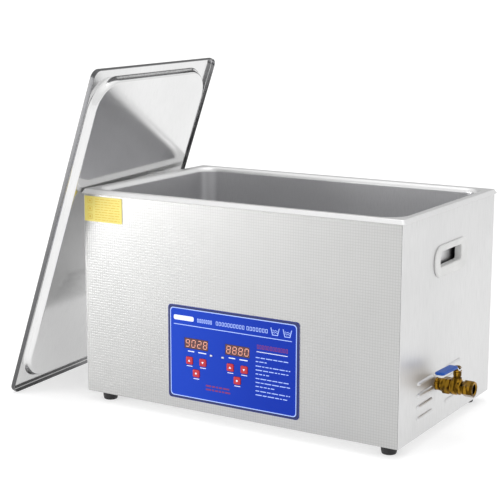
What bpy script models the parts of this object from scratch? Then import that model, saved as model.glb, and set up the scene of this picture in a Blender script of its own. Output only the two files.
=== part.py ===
"""Bench-top ultrasonic cleaner with its lid leaning against the left end of the casing.

Blender 4.5 script. Every dimension below is in millimetres; MM turns them into Blender's metres.
The frame has +Z up from the floor, -Y towards the user (the control side) and +X towards the drain
valve. The design is centred on the casing, and one root empty shifts it so that the whole object's
box is centred on the origin.
"""

import math

import bmesh
import bpy
from mathutils import Matrix, Vector

MM = 0.001
GAP = 0.3
THROUGH = 5.0  # how far a cutter reaches past the sheet that it cuts

# Where the middle of the casing stands in the finished frame.
CASING_X = 40.304
CASING_Y = 17.494

# Casing.
CASE_W, CASE_D = 530.0, 328.0
FOOT_H = 16.0
PANEL_TOP = 326.0
SHEET = 1.0
FLANGE = 12.0
BASE_SHEET = 1.2

# Tank and rim.
RIM_TOP = 332.5
LIP_DROP = 6.0
TANK_W, TANK_D, TANK_H = 500.0, 300.0, 200.0
TANK_CORNER, TANK_FILLET, TANK_ROLL = 26.0, 12.0, 8.0
TANK_WALL = 1.2
RIM_HALF = (265.5, 164.4)
LIP_HALF = (268.8, 167.65)

# Control panel.
OVERLAY_W, OVERLAY_H, OVERLAY_THICK, OVERLAY_CORNER = 222.0, 142.0, 0.8, 5.0
OVERLAY_Z = 102.5
DISPLAY_W, DISPLAY_H = 41.0, 15.5
DISPLAY_Z = 118.2
LEFT_COLUMN, RIGHT_COLUMN = -61.6, 9.3
KEY_W, KEY_H, KEY_PROUD, KEY_TRAVEL = 11.9, 11.5, 1.2, 0.8
KEY_SPREAD, KEY_TOP_Z, KEY_LOW_Z = 11.8, 92.0, 74.0
LAMP_W, LAMP_H, LAMP_Z = 4.0, 2.5, 104.6
LAMP_XS = {"heater_lamp": -35.8, "working_lamp": -15.7}
BOARD_THICK = 1.6
BOARD_DEPTH = 7.4
BOARD_MIDDLE, BOARD_SIZE = (-19.0, 99.0), (160.0, 88.0)
STUD_XS, STUD_ZS, STUD_R = (-94.0, 56.0), (60.0, 138.0), 2.5
WINDOW_LOW, WINDOW_HIGH = (-90.0, 64.0), (38.0, 132.0)
SWITCH_BODY, SWITCH_TIP, SWITCH_TIP_R = 3.5, 4.8, 1.7
LABEL_LOW, LABEL_HIGH, LABEL_THICK = (-263.7, 283.9), (-193.6, 322.5), 0.3

# Hand slots in the two ends.
TRIM_W, TRIM_H, TRIM_THICK, COLLAR_DEPTH, COLLAR_WALL = 118.0, 46.0, 2.5, 9.0, 2.0
TRIM_Z = 255.5
SLOT_LOW, SLOT_HIGH = (-39.0, 246.6), (36.0, 268.4)
SLOT_CORNER = 4.5

# Louvres in the two ends.
LOUVRE_LENGTH, LOUVRE_HEIGHT, LOUVRE_PROUD, LOUVRE_SHEET = 53.5, 4.5, 2.8, 0.8
LOUVRE_YS = (-78.75, 21.5)
LOUVRE_TOP_Z, LOUVRE_PITCH, LOUVRE_ROWS = 96.3, 16.9, 4

# Drain valve: lengths along X from the middle of the casing.
VALVE_Y, VALVE_Z = -37.0, 77.5
VALVE_START, VALVE_BALL_X, VALVE_END = 250.5, 295.5, 322.0
THREAD_R, BALL_R, BORE_R, OUTLET_R, STEM_R = 9.0, 7.5, 5.0, 7.2, 3.0
BONNET_R, BONNET_TOP = 6.0, 22.5
LEVER_THICK, LEVER_W, SLEEVE_W, SLEEVE_THICK = 2.0, 12.0, 14.4, 4.8
LEVER_REACH = 65.0
DRAIN_X, DRAIN_HOLE_R = 215.0, 11.5

# Lid: a pressed tray standing on one end and leaning on the rim.
LID_W, LID_L, LID_LIP, LID_SHEET = 338.0, 543.0, 8.0, 0.8
LID_FLANGE, LID_SLOPE, LID_DISH = 14.0, 8.0, 12.0
LID_CORNER, LID_DISH_CORNER = 13.0, 52.0
LID_TILT, LID_YAW, LID_ROLL = 19.09, 2.0, 0.6
LID_X, LID_Y = -392.87, -202.70
HANDLE_SPAN, HANDLE_RISE, HANDLE_R, HANDLE_BEND = 120.0, 30.0, 5.0, 12.0

# Feet.
FOOT_X, FOOT_Y = 240.0, 139.0

# Transducers, heaters and electronics.
TRANSDUCER_XS = (-200.0, -110.0, -20.0, 70.0, 160.0)
TRANSDUCER_YS = (-80.0, 80.0)
HEATER_W, HEATER_H, HEATER_THICK, HEATER_Z = 240.0, 40.0, 3.0, 190.0
FAN_X, FAN_Z, FAN_SIZE, FAN_DEPTH, FAN_R = -140.0, 72.0, 80.0, 25.0, 38.0
FAN_HUB_R, FAN_BLADES = 17.0, 7
INLET_X, SWITCH_X, REAR_Z = 190.0, 130.0, 60.0
INLET_HOLE, SWITCH_HOLE = (13.8, 10.3), (11.8, 14.8)
ROCKER_TILT = 8.0

FINISHES = {
    "grid_steel": ((0.62, 0.62, 0.61), 0.38, 0.9),
    "satin_steel": ((0.70, 0.70, 0.69), 0.32, 0.9),
    "bright_steel": ((0.58, 0.59, 0.60), 0.18, 1.0),
    "blue_print": ((0.02, 0.06, 0.42), 0.30, 0.0),
    "red_key": ((0.60, 0.03, 0.04), 0.35, 0.0),
    "display": ((0.09, 0.01, 0.02), 0.15, 0.0),
    "lamp": ((0.75, 0.72, 0.65), 0.30, 0.0),
    "grey_plastic": ((0.72, 0.72, 0.71), 0.45, 0.0),
    "black_plastic": ((0.02, 0.02, 0.02), 0.45, 0.0),
    "rubber": ((0.01, 0.01, 0.01), 0.70, 0.0),
    "brass": ((0.55, 0.36, 0.10), 0.25, 1.0),
    "blue_sleeve": ((0.04, 0.12, 0.40), 0.40, 0.0),
    "yellow_label": ((0.84, 0.72, 0.15), 0.45, 0.0),
    "board": ((0.02, 0.18, 0.08), 0.50, 0.0),
    "aluminium": ((0.60, 0.61, 0.62), 0.40, 1.0),
    "ferrite": ((0.05, 0.05, 0.05), 0.60, 0.0),
    "heater_mat": ((0.45, 0.12, 0.05), 0.60, 0.0),
}

TURN_TO = {
    "X": Matrix.Rotation(math.pi / 2, 4, "Y"),
    "Y": Matrix.Rotation(-math.pi / 2, 4, "X"),
    "Z": Matrix.Identity(4),
}


# ---------------------------------------------------------------- scene, materials and objects


def clear_scene():
    for obj in list(bpy.data.objects):
        bpy.data.objects.remove(obj, do_unlink=True)


def new_collection(name):
    group = bpy.data.collections.new(name)
    bpy.context.scene.collection.children.link(group)
    return group


def new_material(name, finish):
    colour, roughness, metallic = FINISHES[finish]
    material = bpy.data.materials.new(name)
    material.use_nodes = True
    shader = material.node_tree.nodes["Principled BSDF"]
    shader.inputs["Base Color"].default_value = (*colour, 1.0)
    shader.inputs["Roughness"].default_value = roughness
    shader.inputs["Metallic"].default_value = metallic
    return material


def new_empty(name, parent=None):
    empty = bpy.data.objects.new(name, None)
    PARTS.objects.link(empty)
    empty.parent = parent
    return empty


def mesh_from(name, bm, origin=(0.0, 0.0, 0.0)):
    """The bmesh, drawn in millimetres, as a mesh in metres about the origin given."""
    mesh = bpy.data.meshes.new(name)
    bm.to_mesh(mesh)
    bm.free()
    mesh.transform(Matrix.Scale(MM, 4) @ Matrix.Translation(-Vector(origin)))
    return mesh


def add_part(name, bm, finish, origin=(0.0, 0.0, 0.0), parent=None):
    mesh = mesh_from(name, bm, origin)
    return add_mesh_part(name, mesh, finish, origin, parent)


def add_mesh_part(name, mesh, finish, origin=(0.0, 0.0, 0.0), parent=None):
    obj = bpy.data.objects.new(name, mesh)
    PARTS.objects.link(obj)
    obj.parent = parent or ROOT
    obj.location = Vector(origin) * MM
    if not mesh.materials:
        mesh.materials.append(new_material(name, finish))
    round_shading(mesh)
    return obj


def round_shading(mesh):
    mesh.shade_smooth()
    mesh.set_sharp_from_angle(angle=math.radians(35))


def combine(target, bm, operation):
    """Joins the shape to the part (UNION) or cuts it away (DIFFERENCE)."""
    name = f"{target.name}_{operation.lower()}_{len(target.modifiers)}"
    tool = bpy.data.objects.new(name, mesh_from(name, bm))
    add_tool(target, tool, operation)


def add_tool(target, tool, operation):
    CUTTERS.objects.link(tool)
    tool.parent = target.parent
    tool.hide_render = True
    tool.display_type = "WIRE"
    modifier = target.modifiers.new(tool.name, "BOOLEAN")
    modifier.object = tool
    modifier.operation = operation


def join(target, bm):
    combine(target, bm, "UNION")


def cut(target, bm):
    combine(target, bm, "DIFFERENCE")


# ---------------------------------------------------------------- shapes


def placed(bm, verts, matrix):
    bmesh.ops.transform(bm, matrix=matrix, verts=verts)
    return bm


def add_box(bm, low, high, round_axis=None, radius=0.0, segments=5):
    """A box between two corners; the four edges along round_axis can be rounded."""
    verts = bmesh.ops.create_cube(bm, size=1.0)["verts"]
    pairs = [sorted(pair) for pair in zip(low, high)]
    size = [top - bottom for bottom, top in pairs]
    middle = [(top + bottom) / 2 for bottom, top in pairs]
    bmesh.ops.scale(bm, vec=size, verts=verts)
    bmesh.ops.translate(bm, vec=middle, verts=verts)
    if radius:
        along = "XYZ".index(round_axis)
        edges = {edge for vert in verts for edge in vert.link_edges if runs_along(edge, along)}
        bmesh.ops.bevel(
            bm, geom=sorted(edges, key=lambda edge: edge.index), offset=radius,
            segments=segments, affect="EDGES", profile=0.5, clamp_overlap=False,
        )
    return bm


def runs_along(edge, axis):
    step = edge.verts[0].co - edge.verts[1].co
    return abs(step[axis]) > 0.999 * step.length


def box(low, high, round_axis=None, radius=0.0, segments=5):
    return add_box(bmesh.new(), low, high, round_axis, radius, segments)


def add_rod(bm, axis, start, length, radius, segments=24, end_radius=None, spin=0.0):
    """A cylinder or cone from a start point along an axis; spin turns it about that axis."""
    end_radius = radius if end_radius is None else end_radius
    made = bmesh.ops.create_cone(
        bm, cap_ends=True, segments=segments, radius1=radius, radius2=end_radius, depth=length
    )
    lift = Matrix.Translation((0, 0, length / 2)) @ Matrix.Rotation(spin, 4, "Z")
    return placed(bm, made["verts"], Matrix.Translation(start) @ TURN_TO[axis] @ lift)


def rod(axis, start, length, radius, segments=24, end_radius=None, spin=0.0):
    return add_rod(bmesh.new(), axis, start, length, radius, segments, end_radius, spin)


def turned(profile, axis, centre, segments=24, ring=False):
    """Turns a profile of (radius, height) points, listed from the top down the outer side, about an axis.

    A ring's profile is closed on itself; any other profile starts and ends on the axis."""
    bm = bmesh.new()
    verts = [bm.verts.new((radius * MM, 0, height * MM)) for radius, height in profile]
    pairs = list(zip(verts, verts[1:]))
    if ring:
        pairs.append((verts[-1], verts[0]))
    for pair in pairs:
        bm.edges.new(pair)
    mesh = bpy.data.meshes.new("profile")
    bm.to_mesh(mesh)
    bm.free()
    outline = bpy.data.objects.new("profile", mesh)
    CUTTERS.objects.link(outline)
    screw = outline.modifiers.new("turn", "SCREW")
    screw.axis = "Z"
    screw.steps = screw.render_steps = segments
    screw.use_merge_vertices = True
    screw.merge_threshold = 1e-6
    solid = evaluated_bmesh(outline)
    bpy.data.objects.remove(outline, do_unlink=True)
    bmesh.ops.remove_doubles(solid, verts=solid.verts, dist=1e-6)
    matrix = Matrix.Translation(centre) @ TURN_TO[axis] @ Matrix.Scale(1 / MM, 4)
    return placed(solid, solid.verts, matrix)


def evaluated_bmesh(obj):
    bpy.context.view_layer.update()
    graph = bpy.context.evaluated_depsgraph_get()
    mesh = bpy.data.meshes.new_from_object(obj.evaluated_get(graph))
    bm = bmesh.new()
    bm.from_mesh(mesh)
    bpy.data.meshes.remove(mesh)
    return bm


def bent_path(corners, bend, steps=6):
    """The corners' polyline with each inner corner rounded to the bend radius."""
    points = [Vector(corners[0])]
    for before, corner, after in zip(corners, corners[1:], corners[2:]):
        corner = Vector(corner)
        back = (Vector(before) - corner).normalized()
        ahead = (Vector(after) - corner).normalized()
        half_angle = back.angle(ahead) / 2
        middle = corner + (back + ahead).normalized() * bend / math.sin(half_angle)
        start = corner + back * bend / math.tan(half_angle) - middle
        end = corner + ahead * bend / math.tan(half_angle) - middle
        sweep = start.angle(end)
        turn_axis = start.cross(end).normalized()
        for step in range(steps + 1):
            points.append(middle + Matrix.Rotation(sweep * step / steps, 3, turn_axis) @ start)
    points.append(Vector(corners[-1]))
    return points


def tube(points, radius, resolution=3):
    """A round bar along the points, with closed ends."""
    curve = bpy.data.curves.new("bar", "CURVE")
    curve.dimensions = "3D"
    curve.bevel_depth = radius * MM
    curve.bevel_resolution = resolution
    curve.use_fill_caps = True
    spline = curve.splines.new("POLY")
    spline.points.add(len(points) - 1)
    for place, point in zip(spline.points, points):
        place.co = (*(point * MM), 1.0)
    bar = bpy.data.objects.new("bar", curve)
    CUTTERS.objects.link(bar)
    bm = evaluated_bmesh(bar)
    bpy.data.objects.remove(bar, do_unlink=True)
    bmesh.ops.remove_doubles(bm, verts=bm.verts, dist=1e-6)
    return placed(bm, bm.verts, Matrix.Scale(1 / MM, 4))


def rounded_ring(half_x, half_y, radius, height, steps=6):
    """Points of a rounded rectangle, counter-clockwise seen from +Z."""
    points = []
    corners = ((1, 1, 0.0), (-1, 1, 0.5), (-1, -1, 1.0), (1, -1, 1.5))
    for side_x, side_y, start in corners:
        centre = (side_x * (half_x - radius), side_y * (half_y - radius))
        for step in range(steps + 1):
            angle = math.pi * (start + 0.5 * step / steps)
            x = centre[0] + radius * math.cos(angle)
            y = centre[1] + radius * math.sin(angle)
            points.append((x, y, height))
    return points


def loft(rings, face_up):
    """A skin from the first ring, which is filled, out through the rest; face_up turns it to +Z."""
    bm = bmesh.new()
    rows = [[bm.verts.new(point) for point in ring] for ring in rings]
    bm.faces.new(rows[0] if face_up else list(reversed(rows[0])))
    for inner, outer in zip(rows, rows[1:]):
        for i in range(len(inner)):
            j = (i + 1) % len(inner)
            quad = (inner[i], outer[i], outer[j], inner[j])
            bm.faces.new(quad if face_up else tuple(reversed(quad)))
    return bm


def thicken(obj, thickness):
    """Gives an open skin its sheet thickness, on the side away from its faces."""
    solidify = obj.modifiers.new("sheet", "SOLIDIFY")
    solidify.thickness = thickness * MM
    solidify.offset = -1.0
    solidify.use_even_offset = True


# ---------------------------------------------------------------- casing


def panel_with_flanges(name, outer_y, inward, finish):
    """A front or rear sheet between the end panels, with a return flange down each side."""
    edge = CASE_W / 2 - SHEET - GAP
    inner_y = outer_y + inward * SHEET
    panel = add_part(name, box((-edge, outer_y, FOOT_H), (edge, inner_y, PANEL_TOP)), finish)
    flanges = bmesh.new()
    for side in (-1, 1):
        low = (side * (edge - SHEET), outer_y + inward * SHEET / 2, FOOT_H)
        high = (side * edge, outer_y + inward * (SHEET + FLANGE), PANEL_TOP)
        add_box(flanges, low, high)
    join(panel, flanges)
    return panel


def front_panel():
    outer = -CASE_D / 2
    panel = panel_with_flanges("front_panel", outer, 1, "grid_steel")
    low = (WINDOW_LOW[0], outer - THROUGH, WINDOW_LOW[1])
    cut(panel, box(low, (WINDOW_HIGH[0], outer + THROUGH, WINDOW_HIGH[1]), "Y", 3.0))
    studs = bmesh.new()
    reach = BOARD_DEPTH - SHEET - GAP
    for x in STUD_XS:
        for z in STUD_ZS:
            add_rod(studs, "Y", (x, outer + SHEET / 2, z), reach + SHEET / 2, STUD_R, 12)
    join(panel, studs)


def rear_panel():
    outer = CASE_D / 2
    panel = panel_with_flanges("rear_panel", outer, -1, "satin_steel")
    cut(panel, rod("Y", (FAN_X, outer - THROUGH, FAN_Z), 2 * THROUGH, FAN_R - 1, 40))
    holes = bmesh.new()
    for x, (half_w, half_h) in ((INLET_X, INLET_HOLE), (SWITCH_X, SWITCH_HOLE)):
        low = (x - half_w, outer - THROUGH, REAR_Z - half_h)
        add_box(holes, low, (x + half_w, outer + THROUGH, REAR_Z + half_h))
    cut(panel, holes)


def louvre_shape(side, shrink, sink):
    """Half-round hoods in rows, open at their lower edges; sink reaches through the sheet."""
    face = CASE_W / 2
    bm = bmesh.new()
    half = LOUVRE_LENGTH / 2 - shrink
    for y in LOUVRE_YS:
        for row in range(LOUVRE_ROWS):
            z = LOUVRE_TOP_Z - row * LOUVRE_PITCH - LOUVRE_HEIGHT / 2
            add_hood(bm, (side * face, y, z), half, LOUVRE_PROUD - shrink, LOUVRE_HEIGHT - shrink, side, sink)
    bmesh.ops.recalc_face_normals(bm, faces=bm.faces)
    return bm


def add_hood(bm, foot, half_length, proud, height, side, sink):
    """A quarter-round strip: flat against the sheet behind, flat below, curved above and in front."""
    segments = 16
    made = bmesh.ops.create_cone(
        bm, cap_ends=True, segments=segments, radius1=1.0, radius2=1.0, depth=2 * half_length
    )
    verts = made["verts"]
    bmesh.ops.transform(bm, matrix=TURN_TO["Y"], verts=verts)
    for vert in verts:
        outward = max(vert.co.x, 0.0) * proud
        vert.co.x = side * (outward if vert.co.x > 1e-4 else -sink)
        vert.co.z = vert.co.z * height if vert.co.z > 1e-4 else -0.1 * (sink > 1.0)
    bmesh.ops.translate(bm, vec=foot, verts=verts)
    bmesh.ops.remove_doubles(bm, verts=verts, dist=1e-4)


def side_panel(name, side):
    """An end sheet with its hand slot and pressed louvres; the right one also has the drain hole."""
    face, half_d = CASE_W / 2, CASE_D / 2
    low = (side * (face - SHEET), -half_d, FOOT_H)
    panel = add_part(name, box(low, (side * face, half_d, PANEL_TOP)), "satin_steel")
    cut(panel, slot_box(side, COLLAR_WALL + GAP, THROUGH, THROUGH))
    return panel


def slot_box(side, margin, inward, outward):
    """The hand slot's outline grown by a margin, from inside the end sheet to outside it."""
    face = side * CASE_W / 2
    low = (face - side * inward, SLOT_LOW[0] - margin, SLOT_LOW[1] - margin)
    high = (face + side * outward, SLOT_HIGH[0] + margin, SLOT_HIGH[1] + margin)
    return box(low, high, "X", SLOT_CORNER + margin)


def hand_trim(name, side):
    """A moulded plate on the outside with a collar that lines the slot."""
    face = side * CASE_W / 2
    low = (face + side * GAP, -TRIM_W / 2, TRIM_Z - TRIM_H / 2)
    high = (face + side * (GAP + TRIM_THICK), TRIM_W / 2, TRIM_Z + TRIM_H / 2)
    trim = add_part(name, box(low, high, "X", TRIM_H / 2 - 2.0, 8), "grey_plastic")
    join(trim, slot_box(side, COLLAR_WALL, COLLAR_DEPTH, GAP + TRIM_THICK / 2))
    cut(trim, slot_box(side, 0.0, COLLAR_DEPTH + THROUGH, 2 * THROUGH))


def base_plate():
    half_x = CASE_W / 2 - SHEET - GAP - SHEET - GAP
    half_y = CASE_D / 2 - SHEET - GAP
    low = (-half_x, -half_y, FOOT_H)
    plate = add_part("base_plate", box(low, (half_x, half_y, FOOT_H + BASE_SHEET)), "satin_steel")
    edges = bmesh.new()
    for side in (-1, 1):
        start = (-half_x, side * (half_y - BASE_SHEET), FOOT_H + BASE_SHEET / 2)
        add_box(edges, start, (half_x, side * half_y, FOOT_H + FLANGE))
    join(plate, edges)


def feet():
    """Four moulded rubber feet, all from one turned shape."""
    profile = [
        (0, FOOT_H - GAP), (12.2, FOOT_H - GAP), (12.2, 12.0), (11.2, 3.0), (10.2, 0.8), (9.0, 0), (0, 0),
    ]
    mesh = mesh_from("foot", turned(profile, "Z", (0, 0, 0), 24))
    for end, x in (("left", -FOOT_X), ("right", FOOT_X)):
        for row, y in (("front", -FOOT_Y), ("rear", FOOT_Y)):
            add_mesh_part(f"foot_{row}_{end}", mesh, "rubber", (x, y, 0))


def caution_label():
    face = -CASE_D / 2 - GAP
    low = (LABEL_LOW[0], face - LABEL_THICK, LABEL_LOW[1])
    add_part("caution_label", box(low, (LABEL_HIGH[0], face, LABEL_HIGH[1]), "Y", 1.0, 2), "yellow_label")


# ---------------------------------------------------------------- tank


def arc_steps(count):
    return [math.pi / 2 * step / count for step in range(count + 1)]


def tank_rings():
    """Rounded rectangles from the tank's floor, up its walls, over the rolled rim and down the lip."""
    half_x, half_y = TANK_W / 2, TANK_D / 2
    floor = RIM_TOP - TANK_H
    rings = []
    for angle in arc_steps(4):
        inset = TANK_FILLET * (1 - math.sin(angle))
        height = floor + TANK_FILLET * (1 - math.cos(angle))
        rings.append(rounded_ring(half_x - inset, half_y - inset, TANK_CORNER - inset, height))
    for angle in arc_steps(4):
        spread = TANK_ROLL * (1 - math.cos(angle))
        height = RIM_TOP - TANK_ROLL * (1 - math.sin(angle))
        rings.append(rounded_ring(half_x + spread, half_y + spread, TANK_CORNER + spread, height))
    rings.append(rounded_ring(*RIM_HALF, 3.0, RIM_TOP))
    rings.append(rounded_ring(*LIP_HALF, 5.0, RIM_TOP - LIP_DROP))
    return rings


def tank():
    body = add_part("tank", loft(tank_rings(), True), "bright_steel")
    thicken(body, TANK_WALL)
    floor = RIM_TOP - TANK_H
    cut(body, rod("Z", (DRAIN_X, VALVE_Y, floor - THROUGH), 2 * THROUGH, DRAIN_HOLE_R, 24))


def heaters():
    wall = TANK_D / 2 + TANK_WALL + GAP
    for name, side in (("heater_front", -1), ("heater_rear", 1)):
        low = (-HEATER_W / 2, side * wall, HEATER_Z - HEATER_H / 2)
        high = (HEATER_W / 2, side * (wall + HEATER_THICK), HEATER_Z + HEATER_H / 2)
        add_part(name, box(low, high, "Y", 4.0, 3), "heater_mat")


def transducers():
    """Bolted sandwich transducers in two rows under the tank's floor."""
    top = RIM_TOP - TANK_H - TANK_WALL - GAP
    profile = [
        (0, 0), (24, 0), (24, -6), (18, -24), (18, -38), (19, -38), (19, -56), (6, -56), (6, -60), (0, -60),
    ]
    mesh = mesh_from("transducer", turned(profile, "Z", (0, 0, 0), 12))
    number = 0
    for y in TRANSDUCER_YS:
        for x in TRANSDUCER_XS:
            number += 1
            add_mesh_part(f"transducer_{number:02d}", mesh, "aluminium", (x, y, top))


# ---------------------------------------------------------------- controls


def key_places():
    """Each key's name with its middle in X and Z."""
    places = {}
    for subject, x in (("temperature", LEFT_COLUMN), ("time", RIGHT_COLUMN)):
        places[f"{subject}_up_key"] = (x - KEY_SPREAD, KEY_TOP_Z)
        places[f"{subject}_down_key"] = (x + KEY_SPREAD, KEY_TOP_Z)
        places[f"{subject}_start_key"] = (x, KEY_LOW_Z)
    return places


def across(x, z, width, height, near_y, far_y, radius=0.0, bm=None):
    """A box centred on X and Z between two depths, its corners rounded along Y."""
    low = (x - width / 2, near_y, z - height / 2)
    high = (x + width / 2, far_y, z + height / 2)
    return add_box(bm or bmesh.new(), low, high, "Y", radius, 3)


def control_panel():
    face = -CASE_D / 2 - GAP - OVERLAY_THICK
    overlay = add_part(
        "control_overlay",
        across(0, OVERLAY_Z, OVERLAY_W, OVERLAY_H, face, face + OVERLAY_THICK, OVERLAY_CORNER),
        "blue_print",
    )
    windows = bmesh.new()
    for x in (LEFT_COLUMN, RIGHT_COLUMN):
        add_window(windows, x, DISPLAY_Z, DISPLAY_W, DISPLAY_H, 0.8)
    for x, z in key_places().values():
        add_window(windows, x, z, KEY_W, KEY_H, 2.2)
    for x in LAMP_XS.values():
        add_window(windows, x, LAMP_Z, LAMP_W, LAMP_H, 0.6)
    cut(overlay, windows)
    board_y = -CASE_D / 2 + BOARD_DEPTH
    for name, x in (("temperature_display", LEFT_COLUMN), ("timer_display", RIGHT_COLUMN)):
        module = across(x, DISPLAY_Z, DISPLAY_W, DISPLAY_H, face + 0.2, board_y - GAP, 0.5)
        add_part(name, module, "display")
    for name, x in LAMP_XS.items():
        lens = across(x, LAMP_Z, LAMP_W, LAMP_H, face - 0.2, board_y - GAP, 0.4)
        add_part(name, lens, "lamp")
    keys(face, board_y)


def add_window(bm, x, z, width, height, radius):
    """A cutter for an opening in the overlay that clears what shows in it by the gap."""
    face = -CASE_D / 2
    across(x, z, width + 2 * GAP, height + 2 * GAP, face - 2 * THROUGH, face + THROUGH, radius, bm)


def keys(face, board_y):
    """Six sprung keys, each with the switch on the board that it presses."""
    cap_back = face + 1.0
    switch_tip = board_y - SWITCH_TIP
    stem_end = switch_tip - KEY_TRAVEL - GAP
    board = add_part(
        "control_board", across(*BOARD_MIDDLE, *BOARD_SIZE, board_y, board_y + BOARD_THICK, 2.0), "board"
    )
    bodies, tips = bmesh.new(), bmesh.new()
    for name, (x, z) in key_places().items():
        origin = (x, face - KEY_PROUD, z)
        key = add_part(
            name, across(x, z, KEY_W, KEY_H, face - KEY_PROUD, cap_back, 2.0), "red_key", origin
        )
        join(key, rod("Y", (x, cap_back - 0.5, z), stem_end - cap_back + 0.5, 2.0, 12))
        across(x, z, 6.0, 6.0, board_y - SWITCH_BODY, board_y + 0.3, 0.5, bodies)
        add_rod(tips, "Y", (x, switch_tip, z), 2.0, SWITCH_TIP_R, 12)
    join(board, bodies)
    join(board, tips)


# ---------------------------------------------------------------- drain


def drain_line():
    """The fitting in the tank's floor, the elbow to the wall and the nut behind the wall."""
    floor = RIM_TOP - TANK_H
    low_end = floor - 22.5
    profile = [
        (15.0, floor + 1.8), (15.0, floor + GAP), (11.0, floor + GAP), (11.0, low_end), (9.0, low_end),
        (9.0, floor + 1.8),
    ]
    fitting = turned(profile, "Z", (DRAIN_X, VALVE_Y, 0), 24, ring=True)
    add_part("tank_drain_fitting", fitting, "bright_steel")
    top, wall_end = low_end - GAP, VALVE_START - GAP
    route = [(DRAIN_X, VALVE_Y, top), (DRAIN_X, VALVE_Y, VALVE_Z), (wall_end, VALVE_Y, VALVE_Z)]
    pipe = add_part("drain_pipe", tube(bent_path(route, 14.0), 10.0), "aluminium")
    route[0] = (DRAIN_X, VALVE_Y, top + 2)
    route[2] = (wall_end + 2, VALVE_Y, VALVE_Z)
    cut(pipe, tube(bent_path(route, 14.0), 8.0))
    inner_face = CASE_W / 2 - SHEET - GAP
    nut = add_part("drain_wall_nut", rod("X", (inner_face - 6, VALVE_Y, VALVE_Z), 6, 14.0, 6), "brass")
    cut(nut, rod("X", (inner_face - 16, VALVE_Y, VALVE_Z), 26, THREAD_R + GAP, 24))


def valve_body():
    """Brass ball valve: thread through the wall, two hexagons, the ball's chamber and the stem's bonnet."""
    start, ball = VALVE_START, VALVE_BALL_X
    stations = [
        (0, VALVE_END - 14), (9.2, VALVE_END - 14), (9.2, 299.0), (10.3, 299.0), (10.3, 296.5), (11.2, 295.0),
        (11.2, 288.0), (9.0, 286.0), (THREAD_R, start), (0, start),
    ]
    profile = [(radius, x - ball) for radius, x in stations]
    body = add_part("valve_body", turned(profile, "X", (ball, VALVE_Y, VALVE_Z), 24), "brass")
    axis = (VALVE_Y, VALVE_Z)
    join(body, rod("X", (276.0, *axis), 11.0, 12.2, 6))
    join(body, rod("X", (VALVE_END - 15.0, *axis), 15.0, 11.7, 6, spin=math.radians(30)))
    join(body, rod("Z", (ball, VALVE_Y, VALVE_Z + 6.0), BONNET_TOP - 6.0, BONNET_R, 24))
    cut(body, valve_bore(start, ball))
    cut(body, rod("Z", (ball, VALVE_Y, VALVE_Z + 3), BONNET_TOP + 5, STEM_R + GAP, 16, spin=math.radians(4)))


def valve_bore(start, ball):
    """The way through the valve as one turned shape: hose end, bore and the ball's round chamber."""
    chamber = BALL_R + 2 * GAP
    stations = [(0, VALVE_END + 5), (OUTLET_R, VALVE_END + 5), (OUTLET_R, VALVE_END - 16), (BORE_R, VALVE_END - 16)]
    meeting = math.asin(BORE_R / chamber)
    for step in range(9):
        angle = meeting + (math.pi - 2 * meeting) * step / 8
        stations.append((chamber * math.sin(angle), ball + chamber * math.cos(angle)))
    stations += [(BORE_R, start - 5), (0, start - 5)]
    profile = [(radius, x - ball) for radius, x in stations]
    return turned(profile, "X", (ball, VALVE_Y, VALVE_Z), 24)


def ball_shape(radius):
    bm = bmesh.new()
    made = bmesh.ops.create_uvsphere(bm, u_segments=16, v_segments=10, radius=radius)
    return placed(bm, made["verts"], Matrix.Translation((VALVE_BALL_X, VALVE_Y, VALVE_Z)))


def pierced_nut(name, low_z, high_z, radius, origin):
    x, y = origin[:2]
    nut = add_part(name, rod("Z", (x, y, low_z), high_z - low_z, radius, 6), "brass", origin)
    cut(nut, rod("Z", (x, y, low_z - 5), high_z - low_z + 10, STEM_R + GAP, 16))


def valve_lever():
    """Everything that turns with the lever, about the stem's vertical axis."""
    x, y = VALVE_BALL_X, VALVE_Y
    pivot = (x, y, VALVE_Z)
    ball = add_part("valve_ball", ball_shape(BALL_R), "bright_steel", pivot)
    cut(ball, rod("Y", (x, y - 15, VALVE_Z), 30, 4.5, 20))
    bonnet = VALVE_Z + BONNET_TOP
    stem_low = VALVE_Z + BALL_R + GAP
    add_part("valve_stem", rod("Z", (x, y, stem_low), bonnet + 8.6 - stem_low, STEM_R, 16), "brass", pivot)
    pierced_nut("packing_nut", bonnet + GAP, bonnet + 2.7, 6.3, (x, y, bonnet))
    plate_z = bonnet + 3.0
    outline = [(7.0, 1.0), (-8.0, 1.0), (-14.0, 7.5), (-LEVER_REACH, 9.5)]
    lever = add_part("valve_lever", bent_strip(outline, pivot, plate_z), "bright_steel", pivot)
    thicken(lever, LEVER_THICK)
    cut(lever, rod("Z", (x, y, plate_z - 5), 15, STEM_R + GAP, 16))
    pierced_nut("lever_nut", plate_z + LEVER_THICK + GAP, plate_z + 5.0, 5.2, pivot)
    lever_sleeve(outline, pivot, plate_z)


def bent_strip(outline, pivot, base_z):
    """The lever's top face: a polyline along Y, swept over the lever's width."""
    bm = bmesh.new()
    rows = []
    for side in (-1, 1):
        x = pivot[0] + side * LEVER_W / 2
        rows.append([bm.verts.new((x, pivot[1] + y, base_z + z + 1.0)) for y, z in outline])
    for i in range(len(outline) - 1):
        bm.faces.new((rows[0][i + 1], rows[1][i + 1], rows[1][i], rows[0][i]))
    return bm


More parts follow.
